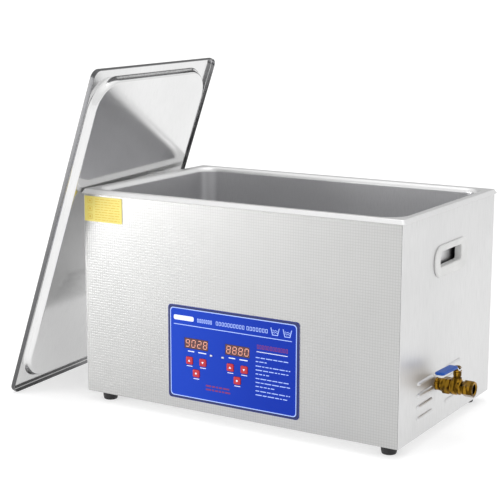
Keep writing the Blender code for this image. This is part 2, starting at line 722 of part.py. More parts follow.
def lever_sleeve(outline, pivot, base_z):
    """A dipped plastic sleeve over the lever's handle, open at its inner end."""
    (y_in, z_in), (y_out, z_out) = outline[-2:]
    slope = math.atan2(z_out - z_in, y_in - y_out)
    length = math.hypot(z_out - z_in, y_in - y_out)
    start = Vector((pivot[0], pivot[1] + y_in, base_z + z_in + 1.0 - LEVER_THICK / 2))
    tilt = Matrix.Translation(start) @ Matrix.Rotation(-slope, 4, "X")
    sleeve = box(
        (-SLEEVE_W / 2, -length - 2.0, -SLEEVE_THICK / 2), (SLEEVE_W / 2, -1.5, SLEEVE_THICK / 2), "Z", 4.0
    )
    hollow = box(
        (-LEVER_W / 2 - GAP, -length - GAP - 0.3, -LEVER_THICK / 2 - GAP),
        (LEVER_W / 2 + GAP, 5.0, LEVER_THICK / 2 + GAP),
    )
    part = add_part("lever_sleeve", placed(sleeve, sleeve.verts, tilt), "blue_sleeve", pivot)
    cut(part, placed(hollow, hollow.verts, tilt))


# ---------------------------------------------------------------- lid


def lid_frame():
    """An empty on the lid's lower front corner: X across the lid, Y up its length, Z into the tank."""
    tilt, yaw, roll = (math.radians(angle) for angle in (LID_TILT, LID_YAW, LID_ROLL))
    across_lid = Vector((0, 1, 0))
    along_lid = Vector((math.sin(tilt), 0, math.cos(tilt)))
    inward = Vector((math.cos(tilt), 0, -math.sin(tilt)))
    lean = Matrix((across_lid, along_lid, inward)).transposed()
    turn = Matrix.Rotation(yaw, 3, "Z") @ lean @ Matrix.Rotation(roll, 3, "Z")
    lift = LID_LIP * math.sin(tilt)
    empty = new_empty("lid_frame", ROOT)
    empty.matrix_local = Matrix.Translation(Vector((LID_X, LID_Y, lift)) * MM) @ turn.to_4x4()
    return empty


def lid_rings():
    """From the sunk middle out over the flange and round the folded lip, on the lid's outer side."""
    half_w, half_l = LID_W / 2, LID_L / 2
    depth = LID_DISH - LID_SHEET
    rings = []
    for share_out, share_down in ((1.0, 1.0), (0.82, 0.96), (0.1, 0.06), (-0.1, 0.0)):
        inset = LID_FLANGE + LID_SLOPE * share_out
        radius = LID_DISH_CORNER - LID_SLOPE * max(share_out, 0.0)
        rings.append(lid_ring(half_w - inset, half_l - inset, radius, depth * share_down))
    rings.append(lid_ring(half_w - 1.5, half_l - 1.5, LID_CORNER - 1.5, 0.0))
    rings.append(lid_ring(half_w, half_l, LID_CORNER, 1.5))
    rings.append(lid_ring(half_w, half_l, LID_CORNER, LID_LIP))
    return rings


def lid_ring(half_x, half_y, radius, height):
    points = rounded_ring(half_x, half_y, radius, height)
    return [(x + LID_W / 2, y + LID_L / 2, z) for x, y, z in points]


def lid(frame):
    tray = add_part("lid", loft(lid_rings(), False), "bright_steel", parent=frame)
    thicken(tray, LID_SHEET)
    holes = bmesh.new()
    for y in handle_ends():
        add_rod(holes, "Z", (LID_W / 2, y, LID_DISH - 5), 10, 2.6, 12)
    cut(tray, holes)


def handle_ends():
    return [LID_L / 2 - HANDLE_SPAN / 2 + HANDLE_R, LID_L / 2 + HANDLE_SPAN / 2 - HANDLE_R]


def lid_handle(frame):
    """A bent bar across the middle of the sunk panel, with a pan-head screw into each end."""
    seat = LID_DISH - LID_SHEET - GAP
    top = seat - HANDLE_RISE + HANDLE_R
    low_y, high_y = handle_ends()
    x = LID_W / 2
    corners = [(x, low_y, seat), (x, low_y, top), (x, high_y, top), (x, high_y, seat)]
    bar = add_part("lid_handle", tube(bent_path(corners, HANDLE_BEND), HANDLE_R), "bright_steel", parent=frame)
    holes = bmesh.new()
    for y in (low_y, high_y):
        add_rod(holes, "Z", (x, y, seat - 12), 15, 2.6, 12)
    cut(bar, holes)
    head = LID_DISH + GAP
    profile = [
        (0, head + 2.6), (2.5, head + 2.4), (4.4, head + 1.2), (4.6, head), (2.2, head), (2.2, seat - 10),
        (0, seat - 10),
    ]
    for name, y in (("handle_screw_lower", low_y), ("handle_screw_upper", high_y)):
        add_part(name, turned(profile, "Z", (x, y, 0), 16), "bright_steel", parent=frame)


# ---------------------------------------------------------------- rear fittings


def fan():
    """Cooling fan behind the rear panel, its rotor, and the wire guard outside."""
    back = CASE_D / 2 - SHEET - GAP
    front = back - FAN_DEPTH
    half = FAN_SIZE / 2
    low, high = (FAN_X - half, front, FAN_Z - half), (FAN_X + half, back, FAN_Z + half)
    frame = add_part("fan_frame", box(low, high, "Y", 4.0, 3), "black_plastic")
    cut(frame, rod("Y", (FAN_X, front - 5, FAN_Z), FAN_DEPTH + 10, FAN_R, 40))
    join(frame, rod("Y", (FAN_X, front, FAN_Z), 4.0, FAN_HUB_R, 24))
    struts = bmesh.new()
    for number in range(3):
        add_spoke(struts, front + 0.5, front + 3.5, FAN_HUB_R - 2, FAN_R + 1, 4.0, number / 3 + 1 / 12)
    join(frame, struts)
    cut(frame, rod("Y", (FAN_X, front - 5, FAN_Z), 15, 2.0, 12))
    centre = (FAN_X, (front + back) / 2, FAN_Z)
    hub_start = front + 4.0 + GAP
    rotor = add_part(
        "fan_rotor", rod("Y", (FAN_X, hub_start, FAN_Z), back - hub_start - 1.0, FAN_HUB_R - 0.5, 24),
        "black_plastic", centre,
    )
    blades = bmesh.new()
    for number in range(FAN_BLADES):
        add_blade(blades, hub_start, back - 1.0, number / FAN_BLADES)
    join(rotor, blades)
    join(rotor, rod("Y", (FAN_X, front + 1.0, FAN_Z), 4.0, 1.6, 12))
    fan_guard()


def add_spoke(bm, near_y, far_y, inner_r, outer_r, width, share):
    """A flat bar from one radius to another about the fan's axis, at a share of a full turn."""
    made = bmesh.new()
    add_box(made, (inner_r, near_y, -width / 2), (outer_r, far_y, width / 2))
    turn = Matrix.Translation((FAN_X, 0, FAN_Z)) @ Matrix.Rotation(2 * math.pi * share, 4, "Y")
    merge_into(bm, made, turn)


def add_blade(bm, near_y, far_y, share):
    """A pitched blade, rooted inside the hub."""
    middle = (near_y + far_y) / 2
    pitch = Matrix.Translation((0, middle, 0)) @ Matrix.Rotation(math.radians(40), 4, "X")
    made = bmesh.new()
    add_box(made, (FAN_HUB_R - 2.5, -8.5, -0.9), (FAN_R - 1.5, 8.5, 0.9))
    placed(made, made.verts, pitch)
    turn = Matrix.Translation((FAN_X, 0, FAN_Z)) @ Matrix.Rotation(2 * math.pi * share, 4, "Y")
    merge_into(bm, made, turn)


def merge_into(bm, made, matrix):
    placed(made, made.verts, matrix)
    mesh = bpy.data.meshes.new("piece")
    made.to_mesh(mesh)
    made.free()
    bm.from_mesh(mesh)
    bpy.data.meshes.remove(mesh)


def fan_guard():
    plane = CASE_D / 2 + GAP + 1.2
    wire = 1.0
    rings = []
    for radius in (36.0, 26.0, 16.0):
        section = [
            (radius + wire * math.sin(angle), wire * math.cos(angle))
            for angle in (math.pi * step / 2.5 for step in range(5))
        ]
        rings.append(turned(section, "Y", (FAN_X, plane, FAN_Z), 24, ring=True))
    guard = add_part("fan_guard", rings[0], "bright_steel")
    for ring in rings[1:]:
        join(guard, ring)
    join(guard, rod("X", (FAN_X - 44, plane, FAN_Z), 88, wire, 8))
    join(guard, rod("Z", (FAN_X, plane, FAN_Z - 44), 88, wire, 8))


def power_inlet():
    """Three-pin appliance inlet with an open socket."""
    face = CASE_D / 2 + GAP
    inlet = add_part("power_inlet", across(INLET_X, REAR_Z, 48, 23, face, face + 2.0, 3.0), "black_plastic")
    join(inlet, across(INLET_X, REAR_Z, 27, 20, face - 22, face + 1.0, 2.0))
    cut(inlet, across(INLET_X, REAR_Z, 24.4, 16.8, face - 16, face + 10, 3.0))
    pins = bmesh.new()
    for x, z in ((-7, -1.5), (0, 2.5), (7, -1.5)):
        across(INLET_X + x, REAR_Z + z, 2.0, 4.0, face - 17, face - 6, 0.0, pins)
    join(inlet, pins)


def power_switch():
    """Rocker switch: a fixed frame and a rocker that turns about X, here at its off stop."""
    face = CASE_D / 2 + GAP
    frame = add_part(
        "power_switch_frame", across(SWITCH_X, REAR_Z, 25, 33, face, face + 1.2, 2.0), "black_plastic"
    )
    join(frame, across(SWITCH_X, REAR_Z, 23, 29, face - 18, face + 0.6, 0.0))
    cut(frame, across(SWITCH_X, REAR_Z, 19.4, 26.4, face - 13, face + 10, 0.0))
    pivot = (SWITCH_X, face - 4.0, REAR_Z)
    halves = []
    for lean in (-2 * ROCKER_TILT, 0.0):
        half = box((-9.3, -3.0, -12.2), (9.3, 4.4, 12.2))
        turn = Matrix.Translation(pivot) @ Matrix.Rotation(math.radians(lean), 4, "X")
        halves.append(placed(half, half.verts, turn))
    rocker = add_part("power_switch_rocker", halves[0], "red_key", pivot)
    combine(rocker, halves[1], "INTERSECT")


# ---------------------------------------------------------------- electronics


def generator_board():
    """Driver board on stand-offs above the base plate, with its main components."""
    floor = FOOT_H + BASE_SHEET + GAP
    top = floor + 8.0 + BOARD_THICK
    low, high = (-235, -100, floor + 8.0), (-75, 95, top)
    board = add_part("generator_board", box(low, high, "Z", 3.0, 2), "board")
    legs = bmesh.new()
    for x in (-228, -82):
        for y in (-93, 88):
            add_rod(legs, "Z", (x, y, floor), 8.5, 3.0, 10)
    join(board, legs)
    parts = bmesh.new()
    for x, y, width, depth, height in (
        (-205, -60, 36, 32, 30), (-150, -70, 30, 13, 22), (-150, -48, 30, 13, 22), (-105, -65, 20, 28, 16),
        (-205, 10, 28, 20, 18), (-110, 55, 24, 42, 26),
    ):
        add_box(parts, (x - width / 2, y - depth / 2, top - 0.5), (x + width / 2, y + depth / 2, top + height))
    for x, y in ((-205, 60), (-172, 60), (-150, 10)):
        add_rod(parts, "Z", (x, y, top - 0.5), 34, 11, 16)
    join(board, parts)


def heatsink():
    floor = FOOT_H + BASE_SHEET + GAP
    sink = add_part("heatsink", box((-50, -45, floor), (50, 45, floor + 5)), "aluminium")
    fins = bmesh.new()
    for number in range(9):
        x = -46 + number * 11.5
        add_box(fins, (x - 1.2, -45, floor + 4), (x + 1.2, 45, floor + 32))
    join(sink, fins)


def matching_inductor():
    floor = FOOT_H + BASE_SHEET + GAP
    profile = [(28, 22), (32, 18), (32, 4), (28, 0), (16, 0), (12, 4), (12, 18), (16, 22)]
    add_part("matching_inductor", turned(profile, "Z", (115, 0, floor), 24, ring=True), "ferrite")


# ---------------------------------------------------------------- assembly


def build():
    front_panel()
    rear_panel()
    for name, side in (("left_side_panel", -1), ("right_side_panel", 1)):
        panel = side_panel(name, side)
        join(panel, louvre_shape(side, 0.0, SHEET / 2))
        cut(panel, louvre_shape(side, LOUVRE_SHEET, SHEET + 1.0))
        if side > 0:
            cut(panel, rod("X", (CASE_W / 2 - 5, VALVE_Y, VALVE_Z), 10, THREAD_R + 0.4, 32))
    hand_trim("left_hand_trim", -1)
    hand_trim("right_hand_trim", 1)
    base_plate()
    feet()
    caution_label()
    tank()
    heaters()
    transducers()
    control_panel()
    drain_line()
    valve_body()
    valve_lever()
    frame = lid_frame()
    lid(frame)
    lid_handle(frame)
    fan()
    power_inlet()
    power_switch()
    generator_board()
    heatsink()
    matching_inductor()


clear_scene()
PARTS = new_collection("ultrasonic_cleaner")
CUTTERS = new_collection("cutters")
ROOT = new_empty("casing_middle")
ROOT.location = Vector((CASING_X, CASING_Y, 0.0)) * MM
build()
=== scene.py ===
"""Looks of the bench-top ultrasonic cleaner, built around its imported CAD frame.

Shapes are drawn in millimetres about the middle of the casing's footprint, with +Z up, -Y towards
the user and +X towards the drain valve; the lid has a frame of its own. MM turns them into metres.
"""

import math
import random

import bmesh
import bpy
from mathutils import Matrix, Vector


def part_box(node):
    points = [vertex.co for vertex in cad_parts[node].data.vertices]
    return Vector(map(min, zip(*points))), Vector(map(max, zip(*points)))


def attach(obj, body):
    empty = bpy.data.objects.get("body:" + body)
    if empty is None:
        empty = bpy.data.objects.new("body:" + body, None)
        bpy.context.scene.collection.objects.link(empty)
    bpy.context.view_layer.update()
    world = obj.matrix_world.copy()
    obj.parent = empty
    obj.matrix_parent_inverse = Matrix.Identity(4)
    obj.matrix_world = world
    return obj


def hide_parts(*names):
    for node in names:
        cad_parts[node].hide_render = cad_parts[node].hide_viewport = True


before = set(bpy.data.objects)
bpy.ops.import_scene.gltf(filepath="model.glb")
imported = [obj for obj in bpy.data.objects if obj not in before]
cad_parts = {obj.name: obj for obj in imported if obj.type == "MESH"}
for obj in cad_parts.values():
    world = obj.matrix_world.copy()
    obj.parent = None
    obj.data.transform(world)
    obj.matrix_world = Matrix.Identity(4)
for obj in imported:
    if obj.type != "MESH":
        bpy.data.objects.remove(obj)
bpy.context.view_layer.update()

MM = 0.001


def span(node):
    """A CAD node's lowest and highest corners in millimetres."""
    low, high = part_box(node)
    return low / MM, high / MM


# The casing, from the frame.
SHEET = 1.0
GAP = 0.3
FRONT_LOW, FRONT_HIGH = span("front_panel")
REAR_HIGH = span("rear_panel")[1]
TANK_LOW, TANK_HIGH = span("tank")
MIDDLE = Vector(((TANK_LOW.x + TANK_HIGH.x) / 2, (FRONT_LOW.y + REAR_HIGH.y) / 2, 0))
FACE_X = FRONT_HIGH.x - MIDDLE.x + GAP + SHEET
FACE_Y = REAR_HIGH.y - MIDDLE.y
CASE_LOW, CASE_TOP = FRONT_LOW.z, FRONT_HIGH.z
RIM_TOP = TANK_HIGH.z

# Tank and rim.
TANK_HALF, TANK_DEEP = (250.0, 150.0), 200.0
TANK_CORNER, TANK_FILLET, TANK_ROLL, TANK_WALL = 26.0, 12.0, 8.0, 1.2
RIM_HALF = (265.5, 164.4)
LIP_HALF = (TANK_HIGH.x - MIDDLE.x, TANK_HIGH.y - MIDDLE.y)
LIP_DROP = 6.0

# Ends of the casing.
LOUVRE_LENGTH, LOUVRE_HEIGHT, LOUVRE_PROUD = 53.5, 4.5, 2.8
LOUVRE_YS, LOUVRE_TOP, LOUVRE_PITCH, LOUVRE_ROWS = (-78.75, 21.5), 96.3, 16.9, 4
TRIM_HALF, TRIM_THICK, TRIM_Z = (59.0, 23.0), 2.5, 255.5
SLOT_LOW, SLOT_HIGH, SLOT_CORNER = (-39.0, 246.6), (36.0, 268.4), 4.5
COLLAR_DEPTH, COLLAR_WALL = 9.0, 2.0

# Control panel.
OVERLAY_HALF, OVERLAY_Z, OVERLAY_CORNER, OVERLAY_THICK = (111.0, 71.0), 102.5, 5.0, 0.8
PANEL_Y = -FACE_Y - GAP - OVERLAY_THICK
DISPLAY_HALF, DISPLAY_Z, DISPLAY_XS = (20.5, 7.75), 118.2, (-61.6, 9.3)
KEY_HALF, KEY_PROUD, KEY_SPREAD, KEY_ZS = (5.95, 5.75), 1.2, 11.8, (92.0, 74.0)
LAMP_HALF, LAMP_Z, LAMP_XS = (2.0, 1.25), 104.6, (-35.8, -15.7)
INK = 0.06
DIGITS = {"0": "abcdef", "2": "abged", "8": "abcdefg", "9": "abcdfg"}

# Drain valve.
VALVE_Y, VALVE_Z = -37.0, 77.5
VALVE_START, VALVE_BALL, VALVE_END = 250.5, 295.5, 322.0
LEVER_BEND, LEVER_TIP = (-14.0, 7.5), (-65.0, 9.5)
STEM_HOLE, SLEEVE_SIDES = 3.3, 40

# Lid, in its own frame: X across it, Y up its length and Z towards the tank.
LID_SIZE, LID_LIP, LID_SHEET = (338.0, 543.0), 8.0, 0.8
LID_FLANGE, LID_SLOPE, LID_DISH, LID_CORNER, LID_DISH_CORNER = 14.0, 8.0, 12.0, 13.0, 52.0
LID_TILT, LID_YAW, LID_ROLL = 19.09, 2.0, 0.6
LID_PLACE = (-392.87, -202.70)

# Rear fittings.
FAN_X, FAN_Z = -140.0, 72.0

# Camera: what it looks at and from where.
LOOK_AT = (-70.0, 0.0, 241.0)
VIEW_TURN, VIEW_LIFT, VIEW_ROLL, VIEW_DISTANCE, LENS = 31.31, 10.80, 0.11, 2061.0, 95.4

# Light: the room is 1 at the horizon, more by OVERHEAD at the top, and dark on the side of a card.
OVERHEAD, CARD_LEVEL, CARD_SIDE = 0.25, 0.48, (-0.51, 0.84, 0.25)

TURN_TO = {
    "X": Matrix.Rotation(math.pi / 2, 4, "Y"),
    "Y": Matrix.Rotation(-math.pi / 2, 4, "X"),
    "Z": Matrix.Identity(4),
}
CASING = Matrix.Translation(MIDDLE * MM)


# ---------------------------------------------------------------- materials


def tone(red, green, blue):
    """A display colour, 0 to 255 each, as linear light."""
    shares = [value / 255 for value in (red, green, blue)]
    return tuple(s / 12.92 if s <= 0.04045 else ((s + 0.055) / 1.055) ** 2.4 for s in shares)


class Paint:
    """A material made of one Principled shader and the procedural nodes that feed it."""

    def __init__(self, name, colour, roughness, metallic=0.0, **sockets):
        self.material = bpy.data.materials.new(name)
        self.material.use_nodes = True
        self.nodes = self.material.node_tree.nodes
        self.links = self.material.node_tree.links
        self.shader = self.nodes["Principled BSDF"]
        self.colour = colour
        self.roughness = roughness
        values = {"Base Color": (*colour, 1.0), "Roughness": roughness, "Metallic": metallic}
        values.update({name.replace("_", " "): value for name, value in sockets.items()})
        for socket, value in values.items():
            self.shader.inputs[socket].default_value = value
        self.place = self.nodes.new("ShaderNodeTexCoord").outputs["Object"]
        self.heights = []

    def add(self, kind, *inputs, **settings):
        node = self.nodes.new(f"ShaderNode{kind}")
        for setting, value in settings.items():
            setattr(node, setting, value)
        for socket, value in zip(node.inputs, inputs):
            self.feed(socket, value)
        return node

    def feed(self, socket, value):
        if isinstance(value, bpy.types.NodeSocket):
            self.links.new(value, socket)
        else:
            socket.default_value = value

    def sum(self, operation, *inputs):
        return self.add("Math", *inputs, operation=operation).outputs[0]

    def axis(self, letter):
        return self.add("SeparateXYZ", self.place).outputs[letter]

    def scaled(self, stretch):
        mapping = self.add("Mapping", self.place)
        mapping.inputs["Scale"].default_value = stretch
        return mapping.outputs[0]

    def noise(self, size, detail=3.0, stretch=(1.0, 1.0, 1.0), seed=0.0):
        """Soft grain about `size` millimetres across, drawn out where stretch is below 1."""
        node = self.add("TexNoise", self.scaled(stretch))
        node.inputs["Scale"].default_value = 1.0 / (size * MM)
        node.inputs["Detail"].default_value = detail
        if seed:
            node.noise_dimensions = "4D"
            node.inputs["W"].default_value = seed
        return node.outputs["Fac"]

    def ramp(self, value, start, end, low=0.0, high=1.0):
        node = self.add("MapRange", value, interpolation_type="SMOOTHSTEP")
        for name, number in zip(("From Min", "From Max", "To Min", "To Max"), (start, end, low, high)):
            node.inputs[name].default_value = number
        return node.outputs[0]

    def tint(self, factor, other, share=1.0):
        """Blends the colour so far towards another one."""
        node = self.add("Mix", data_type="RGBA")
        base = self.shader.inputs["Base Color"]
        source = base.links[0].from_socket if base.links else (*self.colour, 1.0)
        self.feed(node.inputs["Factor"], self.sum("MULTIPLY", factor, share))
        first, second = (socket for socket in node.inputs if socket.type == "RGBA")
        self.feed(first, source)
        self.feed(second, (*other, 1.0))
        self.links.new(next(socket for socket in node.outputs if socket.type == "RGBA"), base)
        return self

    def rough(self, factor, low, high):
        self.links.new(self.ramp(factor, 0.0, 1.0, low, high), self.shader.inputs["Roughness"])
        return self

    def bump(self, height, depth, strength=1.0):
        """Relief `depth` millimetres deep where the height runs from 0 to 1."""
        node = self.add("Bump")
        node.inputs["Strength"].default_value = strength
        node.inputs["Distance"].default_value = depth * MM
        self.links.new(height, node.inputs["Height"])
        if self.heights:
            self.links.new(self.heights[-1], node.inputs["Normal"])
        self.heights.append(node.outputs["Normal"])
        self.links.new(node.outputs["Normal"], self.shader.inputs["Normal"])
        return self


def steel(name, colour, roughness, grain, spread=0.06, stretch=(1.0, 1.0, 0.05), depth=0.004):
    """Stainless steel with a fine directional grain and broad, faint changes of tone."""
    paint = Paint(name, colour, roughness, 1.0)
    streaks = paint.noise(grain, 4.0, stretch)
    cloud = paint.noise(140.0, 2.0, seed=3.0)
    paint.tint(paint.ramp(cloud, 0.35, 0.7), tuple(0.9 * c for c in colour), 0.5)
    paint.tint(paint.ramp(streaks, 0.4, 0.75), tuple(0.86 * c for c in colour), 0.5)
    paint.rough(streaks, roughness - spread, roughness + spread)
    return paint.bump(streaks, depth)


def grid_steel():
    """Embossed sheet: flat squares between fine pressed lines that run both ways."""
    pitch, line = 4.0, 0.16
    paint = Paint("grid_steel", (0.48, 0.48, 0.475), 0.36, 1.0)
    masks = []
    for letter in "XZ":
        cell = paint.sum("FRACT", paint.sum("MULTIPLY", paint.axis(letter), 1.0 / (pitch * MM)))
        off_middle = paint.sum("ABSOLUTE", paint.sum("SUBTRACT", cell, 0.5))
        masks.append(paint.ramp(off_middle, 0.5 - line, 0.5))
    lines = paint.sum("MAXIMUM", *masks)
    grain = paint.noise(0.9, 4.0)
    cloud = paint.noise(90.0, 2.0, seed=5.0)
    paint.tint(paint.ramp(cloud, 0.35, 0.7), (0.45, 0.45, 0.445), 0.5)
    paint.tint(lines, (0.31, 0.31, 0.305), 0.5)
    paint.rough(grain, 0.30, 0.42)
    paint.bump(paint.sum("SUBTRACT", 1.0, lines), 0.12, 0.8)
    return paint.bump(grain, 0.01)


def plastic(name, colour, roughness, grain=0.35, depth=0.02, **sockets):
    """Moulded plastic or rubber with a fine spark-eroded grain."""
    paint = Paint(name, colour, roughness, **sockets)
    fine = paint.noise(grain, 3.0)
    cloud = paint.noise(30.0, 3.0, seed=2.0)
    paint.tint(paint.ramp(cloud, 0.35, 0.7), tuple(0.85 * c for c in colour), 0.6)
    paint.rough(fine, roughness - 0.08, roughness + 0.08)
    return paint.bump(fine, depth)


def brass(name="brass"):
    """Machined brass with random tarnish, and dark bands along the valve that are painted reflection."""
    paint = Paint(name, (0.34, 0.185, 0.018), 0.15, 1.0)
    tarnish = paint.noise(9.0, 4.0)
    turning = paint.noise(0.5, 3.0, (0.9, 0.2, 0.2), 4.0)
    # painted reflection: dark bands along the valve stand for the dark surroundings mirrored in the turned
    # brass
    painted_reflection_bands = paint.noise(4.0, 2.0, (1.0, 0.12, 0.25), 2.0)
    paint.tint(paint.ramp(painted_reflection_bands, 0.42, 0.58), (0.05, 0.024, 0.002), 0.92)
    paint.tint(paint.ramp(tarnish, 0.45, 0.75), (0.17, 0.09, 0.01), 0.5)
    paint.rough(tarnish, 0.12, 0.24)
    return paint.bump(turning, 0.01)


def blue_print():
    """Printed polyester overlay: deep blue, with painted light that makes it lighter to the left, and a fine
    velvet texture.
    """
    paint = Paint("blue_print", tone(2, 44, 158), 0.42, Specular_IOR_Level=0.15)
    fine = paint.noise(0.25, 2.0)
    # painted light: a lighter blue blended in towards the left stands for the light falling from that side
    painted_light_leftward = paint.ramp(paint.axis("X"), 0.10, -0.12)
    paint.tint(painted_light_leftward, tone(20, 64, 182), 0.8)
    paint.rough(fine, 0.36, 0.48)
    return paint.bump(fine, 0.006)


def circuit_board():
    """Green solder mask with copper tracks under it."""
    paint = Paint("circuit_board", (0.01, 0.13, 0.05), 0.35, Coat_Weight=0.4)
    tracks = paint.add("TexBrick", paint.scaled((1.0, 1.0, 1.0)))
    tracks.inputs["Scale"].default_value = 60.0
    tracks.inputs["Mortar Size"].default_value = 0.05
    paint.tint(tracks.outputs["Fac"], (0.03, 0.30, 0.11), 0.8)
    return paint.bump(paint.noise(2.0, 4.0), 0.05)


def display_glass():
    paint = Paint("display_window", (0.055, 0.004, 0.008), 0.12, Coat_Weight=0.6, Coat_Roughness=0.05)
    fine = paint.noise(0.6, 2.0)
    paint.tint(paint.ramp(fine, 0.4, 0.7), (0.10, 0.012, 0.012), 0.6)
    return paint.bump(fine, 0.003)


def digit_glow():
    glow = (*tone(255, 170, 150), 1.0)
    paint = Paint("digit_glow", tone(222, 140, 116), 0.4, Emission_Color=glow, Emission_Strength=0.16)
    paint.tint(paint.ramp(paint.noise(1.2, 2.0), 0.4, 0.7), tone(250, 205, 190), 0.6)
    return paint


def ink(name, colour):
    """Screen-printed ink: slightly uneven and matt."""
    paint = Paint(name, colour, 0.42)
    uneven = paint.noise(0.8, 3.0)
    paint.tint(paint.ramp(uneven, 0.4, 0.75), tuple(0.8 * c for c in colour), 0.5)
    return paint.bump(uneven, 0.01)


def heater_mat():
    """Silicone rubber mat with the weave of its glass cloth."""
    paint = Paint("heater_mat", (0.42, 0.09, 0.04), 0.55)
    weave = []
    for letter in "XZ":
        cell = paint.sum("PINGPONG", paint.sum("MULTIPLY", paint.axis(letter), 1000.0), 1.0)
        weave.append(cell)
    cloth = paint.sum("MULTIPLY", *weave)
    paint.tint(cloth, (0.26, 0.05, 0.02), 0.6)
    return paint.bump(cloth, 0.1)


def make_paints():
    made = {
        "grid_steel": grid_steel(),
        "satin_steel": steel("satin_steel", (0.68, 0.68, 0.68), 0.44, 1.2),
        "bright_steel": steel("bright_steel", (0.76, 0.77, 0.78), 0.26, 0.8, 0.04),
        "tank_steel": steel("tank_steel", (0.78, 0.78, 0.79), 0.3, 0.7, 0.015, (1.0, 1.0, 0.08), 0.0006),
        "lid_steel": steel("lid_steel", (0.76, 0.76, 0.76), 0.13, 0.7, 0.03, (1.0, 0.04, 1.0), 0.002),
        # painted shade: two darker copies of the lid steel for the lid's folded lip, standing for the dark
        # reflection it shows
        "lip_painted_shade_steel": steel("lip_painted_shade_steel", (0.26, 0.26, 0.265), 0.2, 0.7, 0.03, (1.0, 0.04, 1.0), 0.002),
        "edge_painted_shade_steel": steel("edge_painted_shade_steel", (0.10, 0.10, 0.103), 0.34, 0.7, 0.03, (1.0, 0.04, 1.0), 0.002),
        "rim_steel": steel("rim_steel", (0.74, 0.74, 0.74), 0.42, 0.7, 0.03, (1.0, 1.0, 0.3), 0.001),
        "machined_steel": steel("machined_steel", (0.60, 0.60, 0.61), 0.22, 0.3, 0.06, (1.0, 1.0, 1.0)),
        "blue_print": blue_print(),
        "navy_print": ink("navy_print", tone(6, 22, 88)),
        "white_ink": ink("white_ink", tone(226, 234, 255)),
        "pale_ink": ink("pale_ink", tone(166, 190, 248)),
        "red_ink": ink("red_ink", tone(122, 26, 92)),
        "red_key": plastic("red_key", tone(178, 8, 38), 0.4, 0.4, 0.01, Coat_Weight=0.1),
        "display": display_glass(),
        "digit_glow": digit_glow(),
        "lamp_lens": plastic("lamp_lens", tone(214, 214, 220), 0.25, 0.4, 0.01, Coat_Weight=0.5),
        "grey_plastic": plastic("grey_plastic", tone(210, 210, 209), 0.4, 0.5, 0.015),
        "black_plastic": plastic("black_plastic", (0.022, 0.022, 0.024), 0.45, 0.6, 0.03),
        "rubber": plastic("rubber", (0.010, 0.010, 0.011), 0.62, 0.5, 0.04),
        "brass": brass(),
        "blue_sleeve": plastic("blue_sleeve", tone(20, 74, 158), 0.42, 1.5, 0.02, Specular_IOR_Level=0.22),
        "yellow_label": plastic("yellow_label", tone(222, 206, 110), 0.5, 0.6, 0.004),
        "label_ink": ink("label_ink", tone(206, 172, 40)),
        "circuit_board": circuit_board(),
        "aluminium": steel("aluminium", (0.62, 0.63, 0.64), 0.36, 0.5, 0.08, (1.0, 1.0, 1.0)),
        "ferrite": plastic("ferrite", (0.035, 0.033, 0.032), 0.6, 0.8, 0.05),
        "heater_mat": heater_mat(),
    }
    return {name: paint.material for name, paint in made.items()}


# ---------------------------------------------------------------- making pieces


def settle(obj):
    """Replaces the object's mesh with what its modifiers make of it, and removes them."""
    bpy.context.view_layer.update()
    graph = bpy.context.evaluated_depsgraph_get()
    obj.data = bpy.data.meshes.new_from_object(obj.evaluated_get(graph))
    obj.modifiers.clear()


def raw(name, bm, material):
    mesh = bpy.data.meshes.new(name)
    bm.to_mesh(mesh)
    bm.free()
    mesh.transform(Matrix.Scale(MM, 4))
    mesh.materials.append(PAINTS[material])
    obj = bpy.data.objects.new(name, mesh)
    bpy.context.scene.collection.objects.link(obj)
    return obj


def soften(obj, sheet=0.0, bevel=0.0, angle=35, segments=2):
    """Gives a skin its sheet thickness, rounds the sharp edges and smooths the shading."""
    if sheet:
        solidify = obj.modifiers.new("sheet", "SOLIDIFY")
        solidify.thickness = sheet * MM
        solidify.offset = -1.0
        solidify.use_even_offset = True
        settle(obj)
    if bevel:
        edge = obj.modifiers.new("edge", "BEVEL")
        edge.width = bevel * MM
        edge.segments = segments
        edge.limit_method = "ANGLE"
        edge.angle_limit = math.radians(angle)
        settle(obj)
    obj.data.shade_smooth()
    obj.data.set_sharp_from_angle(angle=math.radians(angle))
    obj.modifiers.new("normals", "WEIGHTED_NORMAL").keep_sharp = True
    settle(obj)
    return obj


def combine(obj, other, operation="DIFFERENCE"):
    """Cuts a raw shape away from the object, or joins it on, and removes the shape."""
    boolean = obj.modifiers.new("shape", "BOOLEAN")
    boolean.object = other
    boolean.operation = operation
    settle(obj)
    bpy.data.objects.remove(other, do_unlink=True)
    return obj


def seat(obj, body="casing", nodes=(), place=CASING):
    """Puts a piece in its place and on its body and the CAD nodes it stands for."""
    obj.matrix_world = place
    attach(obj, body)
    if nodes:
        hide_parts(*nodes)
    return obj


def piece(name, bm, material, slot=None, body="casing", nodes=(), place=CASING, **edges):
    return seat(soften(raw(name, bm, material), **edges), body, nodes, place)


def placed(bm, verts, matrix):
    bmesh.ops.transform(bm, matrix=matrix, verts=verts)
    return bm


def face_out(bm):
    """Turns every face of a closed shape outwards."""
    bmesh.ops.recalc_face_normals(bm, faces=bm.faces)


def rounded_ring(half_x, half_y, radius, height, steps=12):
    """Points of a rounded rectangle, counter-clockwise seen from +Z."""
    points = []
    for side_x, side_y, start in ((1, 1, 0.0), (-1, 1, 0.5), (-1, -1, 1.0), (1, -1, 1.5)):
        x, y = side_x * (half_x - radius), side_y * (half_y - radius)
        for step in range(steps + 1):
            angle = math.pi * (start + 0.5 * step / steps)
            points.append((x + radius * math.cos(angle), y + radius * math.sin(angle), height))
    return points


